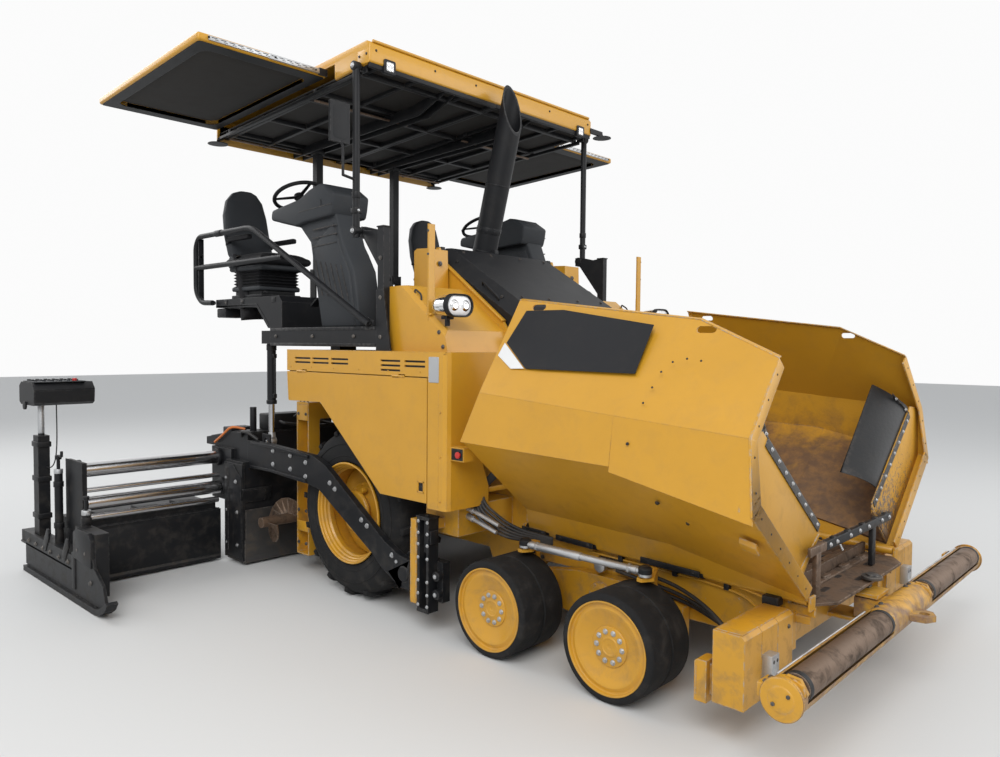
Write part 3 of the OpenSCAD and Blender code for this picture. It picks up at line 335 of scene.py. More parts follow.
paintYellow = (0.565, 0.285, 0.02)
chipSteel = (0.36, 0.345, 0.32)
finishes = {"yellow": makeFinish("yellow_paint", paintYellow, 0.3, bare=(0.3, 0.19, 0.08), edge=0.35, chips=0.12,
    dirt=0.3, coat=0.12), "chipped": makeFinish("yellow_paint_chipped", paintYellow, 0.36, bare=chipSteel, edge=1.0,
    chips=1.0, dirt=0.5, rounding=0.006), "scraped": makeFinish("yellow_paint_scraped", paintYellow, 0.42,
    bare=(0.2, 0.12, 0.075), edge=1.0, chips=1.0, dirt=0.8, dirtColour=(0.16, 0.09, 0.05),
    stain={"scale": 7, "wobble": 0.5, "top": 0.74, "foot": 0.66, "colour": (0.19, 0.105, 0.062),
    "second": (0.42, 0.24, 0.05)}), "hopper": makeFinish("hopper_lining", paintYellow, 0.45, bare=(0.22, 0.13, 0.07),
    edge=0.6, chips=1.0, dirt=0.9, dirtColour=(0.1, 0.065, 0.04), bump=0.0015, bumpScale=40,
    stain={"scale": 3.0, "wobble": 0.9, "top": 1.72, "foot": 1.42, "colour": (0.125, 0.07, 0.038),
    "second": (0.24, 0.125, 0.045)}), "black": makeFinish("black_paint", (0.01, 0.0105, 0.012), 0.42,
    bare=(0.12, 0.115, 0.11), dirtColour=(0.075, 0.065, 0.055), edge=0.45, chips=0.12, dirt=0.35, shine=0.22),
    # the dark finish is also painted shade in louvres, holes, slots and grooves
    "dark": makeFinish("dark_fasteners", (0.018, 0.018, 0.019), 0.4, edge=0.3, chips=0.1, dirt=0.3, shine=0.25),
    "grey": makeFinish("grey_plastic", (0.031, 0.034, 0.038), 0.55, edge=0.1, chips=0.03, dirt=0.15, bump=0.0006,
    bumpScale=400, shine=0.25), "plate": makeFinish("wing_plate_paint", paintYellow, 0.42, bare=chipSteel, edge=1.0,
    chips=1.0, dirt=0.7, dirtColour=(0.16, 0.085, 0.04), stain={"scale": 46, "wobble": 2.2, "top": 1.98, "foot": 1.88,
    "colour": (0.13, 0.12, 0.11), "second": (0.17, 0.09, 0.045)}),
    "film": makeFinish("blank_film", (0.014, 0.0145, 0.0165), 0.36, edge=0.0, chips=0.0, dirt=0.1, shine=0.2),
    "white": makeFinish("white_film", (0.74, 0.74, 0.73), 0.4, edge=0.0, chips=0.0, dirt=0.15),
    "worn": makeFinish("worn_steel", (0.16, 0.105, 0.07), 0.5, bare=(0.33, 0.27, 0.22), edge=0.8, chips=0.9, dirt=0.9,
    dirtColour=(0.03, 0.024, 0.02), metal=0.55, bump=0.002, bumpScale=30),
    "steelDark": makeFinish("dark_steel", (0.075, 0.072, 0.07), 0.45, bare=(0.28, 0.25, 0.22), edge=0.7, chips=0.4,
    dirt=0.6, metal=0.6, bump=0.001, bumpScale=60), "bright": makeFinish("bright_steel", (0.5, 0.5, 0.51), 0.14,
    edge=0.0, chips=0.0, dirt=0.2, metal=1.0), "galvanised": makeFinish("galvanised_steel", (0.5, 0.51, 0.52), 0.38,
    edge=0.2, chips=0.1, dirt=0.35, metal=0.85), "leather": makeFinish("seat_cover", (0.01, 0.01, 0.0115), 0.6,
    edge=0.0, chips=0.0, dirt=0.1, bump=0.0008, bumpScale=350, shine=0.2),
    "tyre": makeFinish("tyre_rubber", (0.011, 0.011, 0.0115), 0.78, bare=(0.04, 0.038, 0.036), edge=0.2, chips=0.1,
    dirt=0.6, dirtColour=(0.05, 0.046, 0.042), bump=0.0016, bumpScale=120, shine=0.25),
    "rubber": makeFinish("flap_rubber", (0.014, 0.0145, 0.0155), 0.45, edge=0.1, chips=0.1, dirt=0.35,
    dirtColour=(0.07, 0.06, 0.05), bump=0.0012, bumpScale=40, shine=0.35),
    "hose": makeFinish("hose_rubber", (0.018, 0.018, 0.019), 0.5, edge=0.0, chips=0.0, dirt=0.4),
    "red": makeFinish("red_plastic", (0.5, 0.022, 0.018), 0.35, edge=0.0, chips=0.0, dirt=0.1),
    "orange": makeFinish("orange_hose", (0.62, 0.17, 0.03), 0.45, edge=0.0, chips=0.0, dirt=0.2),
    "lamp": makeFinish("lamp_reflector", (0.8, 0.8, 0.8), 0.1, edge=0.0, chips=0.0, dirt=0.0, metal=1.0),
    "lens": makeFinish("lamp_lens", (0.88, 0.89, 0.9), 0.12, edge=0.0, chips=0.0, dirt=0.0, coat=0.6), }
slotFinish = {"yellow_paint": "yellow", "black_paint": "black", "grey_paint": "grey", "worn_steel": "worn",
    "bright_steel": "bright", "seat_cover": "leather", "tyre_rubber": "tyre"}

slotOf = {entry["node"]: entry["material_slot"] for entry in frame["record"]["subparts"]}
for nodeName, piece in frame["nodes"].items():
    finish = finishes[slotFinish[slotOf[nodeName]]]
    for index in range(len(piece.material_slots)):
        piece.material_slots[index].material = finish
print("materials are on the packed pieces")

# modelling helpers: every piece is shaped in machine measures, counted from the drive axle


def clearSelection():
    if bpy.context.object and bpy.context.object.mode == "EDIT":
        bpy.ops.object.mode_set(mode="OBJECT")
    bpy.ops.object.select_all(action="DESELECT")


def begin(name):
    clearSelection()
    bpy.ops.object.add(type="MESH", location=(0, 0, 0))
    piece = bpy.context.object
    piece.name = name
    piece.data.name = name
    bpy.ops.object.mode_set(mode="EDIT")
    return piece


def slab(x, y, z, bevel=0.0):
    size = (x[1] - x[0], y[1] - y[0], z[1] - z[0])
    middle = ((x[0] + x[1]) / 2, (y[0] + y[1]) / 2, (z[0] + z[1]) / 2)
    bpy.ops.mesh.primitive_cube_add(size=1, location=middle, scale=size)
    if bevel:
        bpy.ops.mesh.bevel(offset=bevel, segments=2, affect="EDGES")


def turned(direction):
    return Vector(direction).to_track_quat("Z", "Y").to_euler()


def rod(start, end, radius, sides=24, tip=None):
    start, end = Vector(start), Vector(end)
    run = end - start
    bpy.ops.mesh.primitive_cone_add(vertices=sides, radius1=radius, radius2=radius if tip is None else tip,
        depth=run.length, location=(start + end) / 2, rotation=turned(run))


def putOutline(points, filled):
    # a ring of vertices laid on the given points
    bpy.ops.mesh.primitive_circle_add(vertices=len(points), fill_type="NGON" if filled else "NOTHING")
    mesh = bpy.context.object.data
    shape = bmesh.from_edit_mesh(mesh)
    ring = [vertex for vertex in shape.verts if vertex.select]
    for vertex, point in zip(ring, points):
        vertex.co = point
    bmesh.update_edit_mesh(mesh)


def plate(points, thickness):
    # an outline of points pulled out by a vector
    putOutline(points, True)
    bpy.ops.mesh.extrude_region_move(TRANSFORM_OT_translate={"value": thickness})


def plateY(points, y):
    plate([(x, y[0], z) for x, z in points], (0, y[1] - y[0], 0))


def plateX(points, x):
    plate([(x[0], y, z) for y, z in points], (x[1] - x[0], 0, 0))


def plateZ(points, z):
    plate([(x, y, z[0]) for x, y in points], (0, 0, z[1] - z[0]))


def lathe(profile, middle, steps=48, along="Y", facing=1):
    # profile points are (radius, distance along the axis)
    if along == "Y":
        points = [(middle[0] + r, middle[1] + facing * d, middle[2]) for r, d in profile]
        axis = (0, 1, 0)
    elif along == "X":
        points = [(middle[0] + facing * d, middle[1] + r, middle[2]) for r, d in profile]
        axis = (1, 0, 0)
    else:
        points = [(middle[0] + r, middle[1], middle[2] + facing * d) for r, d in profile]
        axis = (0, 0, 1)
    putOutline(points, False)
    bpy.ops.mesh.spin(steps=steps, angle=math.tau, center=middle, axis=axis)


def bolt(at, direction, size=0.012, washer=True):
    at, direction = Vector(at), Vector(direction).normalized()
    if washer:
        rod(at - direction * 0.002, at + direction * size * 0.25, size * 1.35, 12)
    rod(at, at + direction * size * 0.9, size, 6, size * 0.92)


def finishPiece(piece, body, finish, slotName=None, bevel=0.0, segments=2, angle=35, replaces=(), smooth=35):
    if piece.mode == "EDIT":
        bpy.ops.mesh.select_all(action="SELECT")
        bpy.ops.mesh.remove_doubles(threshold=0.00005)
        bpy.ops.mesh.normals_make_consistent(inside=False)
        bpy.ops.object.mode_set(mode="OBJECT")
    clearSelection()
    piece.select_set(True)
    bpy.context.view_layer.objects.active = piece
    if bevel:
        rounding = piece.modifiers.new("rounding", "BEVEL")
        rounding.width = bevel
        rounding.segments = segments
        rounding.limit_method = "ANGLE"
        rounding.angle_limit = math.radians(angle)
        rounding.use_clamp_overlap = True
        bpy.ops.object.modifier_apply(modifier=rounding.name)
    piece.location.x += axleX
    bpy.ops.object.transform_apply(location=True, rotation=True, scale=True)
    bpy.ops.object.shade_smooth_by_angle(angle=math.radians(smooth))
    piece.data.materials.clear()
    piece.data.materials.append(finishes[finish])
    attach(piece, body)
    if replaces:
        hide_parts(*replaces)
    return piece


def otherSide(piece, name, body, replaces=()):
    # the same piece for the machine's other side
    clearSelection()
    piece.select_set(True)
    bpy.context.view_layer.objects.active = piece
    bpy.ops.object.duplicate()
    copy = bpy.context.object
    copy.name = name
    copy.data.name = name
    copy.scale.y = -1
    bpy.ops.object.transform_apply(location=True, rotation=True, scale=True)
    bpy.ops.object.mode_set(mode="EDIT")
    bpy.ops.mesh.select_all(action="SELECT")
    bpy.ops.mesh.normals_make_consistent(inside=False)
    bpy.ops.object.mode_set(mode="OBJECT")
    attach(copy, body)
    if replaces:
        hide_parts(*replaces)
    return copy


def pipe(name, points, radius, sides=10, bend=0.06):
    # a smooth tube along the points, as a mesh in machine measures
    clearSelection()
    bpy.ops.curve.primitive_bezier_curve_add(location=(0, 0, 0))
    tube = bpy.context.object
    tube.name = name
    curve = tube.data
    curve.name = name
    curve.splines.clear()
    line = curve.splines.new("POLY")
    path = roundCorners([Vector(point) for point in points], bend)
    line.points.add(len(path) - 1)
    for spot, point in zip(line.points, path):
        spot.co = (*point, 1)
    curve.dimensions = "3D"
    curve.bevel_depth = radius
    curve.bevel_resolution = max(1, sides // 4)
    curve.use_fill_caps = True
    bpy.ops.object.convert(target="MESH")
    return bpy.context.object


def roundCorners(points, bend, steps=5):
    path = [points[0]]
    for before, corner, after in zip(points, points[1:], points[2:]):
        back, forth = before - corner, after - corner
        reach = min(bend, back.length * 0.45, forth.length * 0.45)
        start, end = corner + back.normalized() * reach, corner + forth.normalized() * reach
        for index in range(steps + 1):
            t = index / steps
            path.append(start.lerp(corner, t).lerp(corner.lerp(end, t), t))
    path.append(points[-1])
    return path


def joined(first, *rest):
    clearSelection()
    for piece in (first, *rest):
        piece.select_set(True)
    bpy.context.view_layer.objects.active = first
    bpy.ops.object.join()
    return bpy.context.object

# drive wheels

driveWheel = {"axleHeight": 0.59, "outerFace": 1.12, "width": 0.39, "radius": 0.59, "rimRadius": 0.345, "lugs": 16,
    "hubBolts": 12, }


def driveTyre():
    size = driveWheel
    face, wide, radius, rim = size["outerFace"], size["width"], size["radius"], size["rimRadius"]
    tread = radius - 0.022
    piece = begin("drive_tyre_dressed_right")
    half = [(rim + 0.002, 0.02), (rim + 0.012, 0.006), (rim + 0.035, 0.001), (rim + 0.08, -0.003),
        (rim + 0.12, -0.001), (rim + 0.15, 0.006), (rim + 0.176, 0.017), (rim + 0.2, 0.032), (tread - 0.012, 0.047),
        (tread, 0.075), (tread + 0.004, wide / 2)]
    profile = half + [(r, wide - d) for r, d in reversed(half[:-1])]
    middle = (0, -face, size["axleHeight"])
    lathe(profile, middle, steps=96)
    # one slanting lug for each side of the tread, then its copies round the tyre
    for side in (0, 1):
        turn = math.radians(11.25 * side)
        spread = []
        for along, lean in ((0.02, 0.085), (0.075, 0.055), (0.13, 0.022), (0.195, 0.0)):
            spread.append((along if side == 0 else wide - along, lean + turn))
        lower = tread - 0.012
        for (d1, a1), (d2, a2) in zip(spread, spread[1:]):
            top = [radius - (0.02 if d in (0.02, wide - 0.02) else 0.0) for d in (d1, d2)]
            corner = []
            for d, a, high in ((d1, a1, top[0]), (d2, a2, top[1])):
                for off in (-0.036, 0.036):
                    corner.append((d, a + off, high))
            ring = []
            for d, a, high in (corner[0], corner[2], corner[3], corner[1]):
                ring.append(((high * math.sin(a)), -face + d, size["axleHeight"] + high * math.cos(a)))
            putOutline(ring, True)
            bpy.ops.mesh.extrude_region_move()
            inward = (lower / radius)
            bpy.ops.transform.resize(value=(inward, 1, inward), center_override=middle)
            bpy.ops.mesh.select_linked()
            bpy.ops.mesh.spin(steps=size["lugs"] - 1, dupli=True, angle=math.tau * (size["lugs"] - 1) / size["lugs"],
                center=middle, axis=(0, 1, 0))
    # low rings on the side wall
    for radiusAt in (rim + 0.05, rim + 0.13):
        lathe([(radiusAt - 0.004, 0.004), (radiusAt, -0.006), (radiusAt + 0.004, 0.004)], middle, steps=96)
    finishPiece(piece, "drive_wheel_right", "tyre", bevel=0.004, replaces=("drive_tyre_right",))
    otherSide(piece, "drive_tyre_dressed_left", "drive_wheel_left", ("drive_tyre_left",))


def driveRim():
    size = driveWheel
    face, rim = size["outerFace"], size["rimRadius"]
    middle = (0, -face, size["axleHeight"])
    piece = begin("drive_rim_dressed_right")
    # rolled outer rings of the rim, its well and the dished disc
    lathe([(rim - 0.004, -0.011), (rim + 0.003, -0.009), (rim + 0.006, 0.0), (rim + 0.002, 0.01),
        (rim - 0.006, 0.016), (rim - 0.016, 0.04), (rim - 0.018, 0.35), (rim - 0.006, 0.372), (rim + 0.004, 0.384),
        (rim, 0.396), (rim - 0.01, 0.392), (rim - 0.03, 0.35), (rim - 0.032, 0.11), (rim - 0.044, 0.098),
        (rim - 0.046, 0.062), (rim - 0.034, 0.05), (rim - 0.032, 0.036), (rim - 0.022, 0.03), (rim - 0.02, 0.014),
        (rim - 0.01, 0.008), (rim - 0.009, -0.006)], middle, steps=96)
    lathe([(rim - 0.034, 0.205), (rim - 0.06, 0.232), (0.18, 0.222), (0.178, 0.205), (0.215, 0.203), (0.262, 0.188),
        (rim - 0.034, 0.185)], middle, steps=72)
    # planetary hub with its flange and cover
    lathe([(0.0, 0.235), (0.196, 0.235), (0.198, 0.17), (0.19, 0.16), (0.168, 0.158), (0.164, 0.15), (0.15, 0.146),
        (0.146, 0.075), (0.136, 0.058), (0.118, 0.05), (0.06, 0.047), (0.0, 0.047)], middle, steps=64)
    for index in range(size["hubBolts"]):
        turn = math.tau * (index + 0.5) / size["hubBolts"]
        x, z = 0.181 * math.sin(turn), size["axleHeight"] + 0.181 * math.cos(turn)
        bolt((x, -face + 0.16, z), (0, -1, 0), 0.011)
    for index in range(8):
        turn = math.tau * (index + 0.5) / 8
        x, z = 0.104 * math.sin(turn), size["axleHeight"] + 0.104 * math.cos(turn)
        bolt((x, -face + 0.049, z), (0, -1, 0), 0.007, False)
    for turn in (0.3, 2.4):
        x, z = 0.155 * math.sin(turn), size["axleHeight"] + 0.155 * math.cos(turn)
        rod((x, -face + 0.12, z), (x, -face + 0.085, z), 0.02, 16, 0.017)
    # the back of the hub, open for the axle
    lathe([(0.122, 0.234), (0.122, 0.33), (0.0801, 0.33), (0.0801, 0.3), (0.0, 0.3), (0.0, 0.234)], middle, steps=48)
    finishPiece(piece, "drive_wheel_right", "yellow", bevel=0.0015, replaces=("drive_rim_right",))
    otherSide(piece, "drive_rim_dressed_left", "drive_wheel_left", ("drive_rim_left",))


# front wheels

frontWheel = {"axleHeight": 0.272, "outerFace": 1.2, "width": 0.35, "radius": 0.272, "rimRadius": 0.234, "bolts": 10,
    "places": (("rear", 1.42), ("front", 2.223)), }


def frontWheels():
    size = frontWheel
    face, wide, radius, rim, high = (size["outerFace"], size["width"], size["radius"], size["rimRadius"],
        size["axleHeight"])
    for place, x in size["places"]:
        middle = (x, -face, high)
        piece = begin("front_tyre_dressed_" + place + "_right")
        half = [(rim + 0.0005, 0.003), (rim + 0.01, 0.001), (radius - 0.012, 0.004), (radius - 0.003, 0.011),
            (radius, 0.02), (radius, 0.164), (radius - 0.005, 0.168), (radius - 0.007, wide / 2)]
        profile = half + [(r, wide - d) for r, d in reversed(half[:-1])]
        lathe(profile, middle, steps=96)
        finishPiece(piece, "front_wheel_" + place + "_right", "tyre", replaces=("front_tyre_" + place + "_right",))
        otherSide(piece, "front_tyre_dressed_" + place + "_left", "front_wheel_" + place + "_left",
            ("front_tyre_" + place + "_left",))
        piece = begin("front_rim_dressed_" + place + "_right")
        lathe([(rim - 0.0005, 0.0), (rim, 0.33), (rim - 0.018, 0.33), (rim - 0.018, 0.062), (0.06, 0.062),
            (0.06, 0.25), (0.0381, 0.25), (0.0381, 0.052), (0.058, 0.05), (0.15, 0.036), (rim - 0.06, 0.02),
            (rim - 0.04, 0.012), (rim - 0.022, 0.02), (rim - 0.012, 0.018), (rim - 0.009, 0.001)], middle, steps=96)
        # low boss with a ring of silver nuts and a plain cap
        lathe([(0.0, 0.048), (0.102, 0.048), (0.102, 0.04), (0.099, 0.037), (0.052, 0.037), (0.049, 0.034),
            (0.04, 0.033), (0.038, 0.036), (0.012, 0.036), (0.01, 0.038), (0.0, 0.038)], middle, steps=48)
        finishPiece(piece, "front_wheel_" + place + "_right", "yellow", bevel=0.0012,
            replaces=("front_rim_" + place + "_right",))
        otherSide(piece, "front_rim_dressed_" + place + "_left", "front_wheel_" + place + "_left",
            ("front_rim_" + place + "_left",))
        nuts = begin("front_nuts_" + place + "_right")
        for index in range(size["bolts"]):
            turn = math.tau * (index + 0.5) / size["bolts"]
            bolt((x + 0.076 * math.sin(turn), -face + 0.036, high + 0.076 * math.cos(turn)), (0, -1, 0), 0.0105)
        finishPiece(nuts, "front_wheel_" + place + "_right", "galvanised")
        otherSide(nuts, "front_nuts_" + place + "_left", "front_wheel_" + place + "_left")


driveTyre()
driveRim()
frontWheels()
print("wheels are made")

# hopper wings

wing = {"thick": 0.01, "boltGap": 0.135, "flapReach": 0.23, "pins": ((2.501, -1.081, 1.682), (2.569, -1.069, 1.698),
    (2.642, -1.07, 1.69), (2.457, -1.109, 1.635), (2.435, -1.15, 1.562), (2.413, -1.191, 1.49)),
    "strips": ((1.23, 1.42), (1.5, 1.771), (2.094, 2.452)), "holes": ((1.575, -0.968, 1.966), (2.593, -0.949, 1.836)),
    }


def layGrid(rows):
    # a grid with one vertex for each given point, rows along X
    count, depth = len(rows), len(rows[0])
    bpy.ops.mesh.primitive_grid_add(x_subdivisions=depth - 1, y_subdivisions=count - 1, size=2)
    mesh = bpy.context.object.data
    shape = bmesh.from_edit_mesh(mesh)
    fresh = sorted((vertex for vertex in shape.verts if vertex.select),
        key=lambda vertex: (round(vertex.co.y, 4), round(vertex.co.x, 4)))
    for vertex, point in zip(fresh, [point for row in rows for point in row]):
        vertex.co = point
    bmesh.update_edit_mesh(mesh)


def foldedSheet(rows, inward):
    layGrid(rows)
    bpy.ops.mesh.extrude_region_move(TRANSFORM_OT_translate={"value": inward})


def closeShape():
    bpy.ops.mesh.select_all(action="SELECT")
    bpy.ops.mesh.remove_doubles(threshold=0.00005)
    bpy.ops.mesh.normals_make_consistent(inside=False)
    bpy.ops.object.mode_set(mode="OBJECT")


def punch(piece, tool):
    # cut the tool out of the piece
    clearSelection()
    piece.select_set(True)
    bpy.context.view_layer.objects.active = piece
    cut = piece.modifiers.new("cut", "BOOLEAN")
    cut.operation = "DIFFERENCE"
    cut.solver = "EXACT"
    cut.object = tool
    bpy.ops.object.modifier_apply(modifier=cut.name)
    bpy.data.objects.remove(tool)


def slotPrism(middle, reach, radius, depth):
    # a long hole's outline across X and Z, drawn out along Y
    points = []
    for end, turn in ((1, -90), (-1, 90)):
        for step in range(9):
            angle = math.radians(turn + step * 22.5)
            points.append((middle[0] + end * reach + radius * math.cos(angle), middle[2] + radius * math.sin(angle)))
    plateY(points, (middle[1] - depth, middle[1] + depth))


def between(rows, x, column):
    # the point of one column at one X, between measured rows
    for first, second in zip(rows, rows[1:]):
        a, b = Vector(first[column]), Vector(second[column])
        if x <= b.x or second is rows[-1]:
            return a.lerp(b, (x - a.x) / (b.x - a.x))


wingRows = [[(1.262, -0.66, 0.61), (1.27, -0.705, 0.748), (1.263, -1.262, 1.219), (1.384, -1.24, 1.491),
    (1.422, -0.95, 2.014)], [(2.275, -0.66, 0.58), (2.275, -0.705, 0.713), (2.275, -1.262, 1.193),
    (2.275, -1.234, 1.424), (2.55, -0.92, 1.883)], [(2.996, -0.66, 0.556), (2.996, -0.678, 0.574),
    (2.996, -1.262, 1.052), (2.961, -1.226, 1.372), (2.943, -0.922, 1.708)], ]


def wingSkin():
    thick = wing["thick"]
    # upper facet with its two lifting holes
    skin = begin("wing_skin_right")
    foldedSheet([row[3:5] for row in wingRows], (0, thick, -0.003))
    closeShape()
    for x, y, z in wing["holes"]:
        tool = begin("hole_tool")
        slotPrism((x, y, z), 0.03, 0.016, 0.1)
        closeShape()
        punch(skin, tool)
    # floor from the hinge to the lower bend, and the outer facet that hangs over it in two steps
    bpy.ops.object.mode_set(mode="EDIT")
    foldedSheet([row[:3] for row in wingRows], (0, 0.008, 0.007))
    for first, last, drop in ((wingRows[0], wingRows[1], 0.01), (wingRows[1], wingRows[2], 0.036)):
        pair = []
        for row in (first, last):
            low = row[2]
            pair.append([(low[0], low[1] - 0.006, low[2] - drop), row[3]])
        foldedSheet(pair, (0, thick, -0.003))
    finishPiece(skin, "wing_right", "yellow", bevel=0.0025, replaces=("wing_right",), smooth=14)
    # flat steel lining that the load rubs
    lining = begin("wing_lining_right")
    inset = [[Vector(point) for point in row[:3]] for row in wingRows]
    rows = []
    for row in inset:
        low, high = row[1] + Vector((0, 0.014, 0.012)), row[2] + Vector((0, 0.014, 0.01))
        rows.append([tuple(low), tuple(high)])
    rows[0] = [(point[0] + 0.045, point[1], point[2]) for point in rows[0]]
    rows[2] = [(point[0] - 0.06, point[1], point[2]) for point in rows[2]]
    foldedSheet(rows, (0, -0.003, -0.003))
    upper = []
    for row in wingRows:
        upper.append([(row[2][0], row[2][1] + 0.019, row[2][2]), (row[3][0], row[3][1] + 0.014, row[3][2] + 0.01)])
    upper[0] = [(point[0] + 0.045, point[1], point[2]) for point in upper[0]]
    upper[2] = [(point[0] - 0.06, point[1], point[2]) for point in upper[2]]
    foldedSheet(upper, (0, -0.003, 0))
    finishPiece(lining, "wing_right", "hopper")
    return skin, lining


def wingEdges():
    # front flange, top hem and the rear wall
    piece = begin("wing_edges_right")
    inner = [(-0.612, 0.616), (-1.19, 1.094), (-1.16, 1.356), (-0.868, 1.664)]
    outer = [(-0.676, 0.566), (-1.268, 1.048), (-1.228, 1.372), (-0.922, 1.708)]
    faceX = (2.999, 2.999, 2.964, 2.946)
    for index in range(3):
        (ay, az), (by, bz), (cy, cz), (dy, dz) = outer[index], outer[index + 1], inner[index + 1], inner[index]
        x1, x2 = faceX[index], faceX[index + 1]
        plate([(x1, ay, az), (x2, by, bz), (x2, cy, cz), (x1, dy, dz)], (-0.011, 0, 0))
    for first, last in zip(wingRows, wingRows[1:]):
        a, b = first[4], last[4]
        plate([(a[0], a[1] - 0.003, a[2] + 0.003), (b[0], b[1] - 0.003, b[2] + 0.003),
            (b[0], b[1] + 0.024, b[2] + 0.01), (a[0], a[1] + 0.024, a[2] + 0.01)], (0, 0.003, -0.008))
    plate([(1.29, -0.69, 0.76), (1.29, -1.246, 1.232), (1.4, -1.226, 1.484), (1.437, -0.956, 1.996),
        (1.43, -0.85, 1.945), (1.395, -0.7, 1.46), (1.31, -0.775, 1.277), (1.3, -0.698, 0.945)], (0.011, 0, 0))
    # small bracket under the front of the floor
    plate([(2.86, -1.06, 0.88), (2.94, -1.06, 0.866), (2.94, -1.1, 0.905), (2.86, -1.1, 0.92)], (0, -0.006, -0.024))
    finishPiece(piece, "wing_right", "chipped", bevel=0.002)
    # yellow hinge tube; black strips and knuckles show below the flange in three places
    tube = begin("wing_hinge_tube_right")
    rod((2.988, -0.634, 0.56), (1.219, -0.634, 0.617), 0.026, 24)
    finishPiece(tube, "wing_right", "yellow", bevel=0.002)
    strips = begin("wing_hinge_right")
    for x1, x2 in wing["strips"]:
        high = 0.56 + (2.988 - (x1 + x2) / 2) * 0.03213
        tilt = (x2 - x1) / 2 * 0.03213
        rod((x1, -0.634, high + tilt), (x2, -0.634, high - tilt), 0.031, 20)
        plateY([(x1, high + tilt - 0.012), (x1, high + tilt + 0.02), (x2, high - tilt + 0.02),
            (x2, high - tilt - 0.012)], (-0.7, -0.69))
        for t in (0.12, 0.88):
            bolt((x1 + (x2 - x1) * t, -0.7, high + tilt * (1 - 2 * t) + 0.004), (0, -1, 0), 0.007)
    slab((2.79, 2.87), (-0.705, -0.64), (0.512, 0.556), 0.003)
    finishPiece(strips, "wing_right", "black", bevel=0.002)
    return piece, tube, strips


def wingBolts():
    piece = begin("wing_bolts_right")
    front = [(2.9995, -0.646, 0.59), (2.9995, -1.232, 1.074), (2.9645, -1.197, 1.366), (2.9465, -0.898, 1.688)]
    for first, last in zip(front, front[1:]):
        a, b = Vector(first), Vector(last)
        count = max(2, round((b - a).length / wing["boltGap"]))
        for index in range(count):
            at = a.lerp(b, (index + 0.5) / count)
            rod(at - Vector((0.001, 0, 0)), at + Vector((0.001, 0, 0)), 0.0048, 14)
    for x, y, z in ((2.55, -0.985, 0.93), (2.62, -0.9, 0.858), (2.7, -0.82, 0.788), (2.45, -1.1, 1.03)):
        bolt((x, y - 0.012, z - 0.016), (0, -0.64, -0.77), 0.009)
    bolt((2.372, -1.252, 1.3), (0, -1, 0), 0.008, False)
    finishPiece(piece, "wing_right", "dark")
    return piece


def wingPanel():
    # dark blank panel with a white corner on the right wing's upper facet
    outline = [(1.502, -0.982, 1.948), (1.759, -0.971, 1.947), (2.341, -0.991, 1.859), (2.322, -1.123, 1.621),
        (1.646, -1.152, 1.628), (1.446, -1.085, 1.767)]
    whiteCorner = [(1.433, -1.085, 1.767), (1.418, -1.125, 1.696), (1.544, -1.158, 1.625), (1.636, -1.152, 1.628)]
    a, b, c = Vector(wingRows[0][3]), Vector(wingRows[1][3]), Vector(wingRows[0][4])
    normal = (b - a).cross(c - a).normalized()
    if normal.y > 0:
        normal.negate()

    def laid(point):
        # slide the point along Y onto the facet, then lift it off by a film's thickness
        spot = Vector(point)
        spot.y -= (spot - a).dot(normal) / normal.y
        return spot + normal * 0.0012
    panel = begin("wing_panel_right")
    plate([laid(point) for point in outline], normal * 0.0012)
    finishPiece(panel, "wing_right", "film")
    # small open pin holes in two rows, drawn as dark discs of painted shade
    pins = begin("wing_pins_right")
    for x, y, z in wing["pins"]:
        at = laid((x, y, z))
        rod(at - normal * 0.002, at + normal * 0.0004, 0.0055, 12)
    finishPiece(pins, "wing_right", "dark")
    corner = begin("wing_panel_corner_right")
    plate([laid(point) for point in whiteCorner], normal * 0.0011)
    finishPiece(corner, "wing_right", "white")


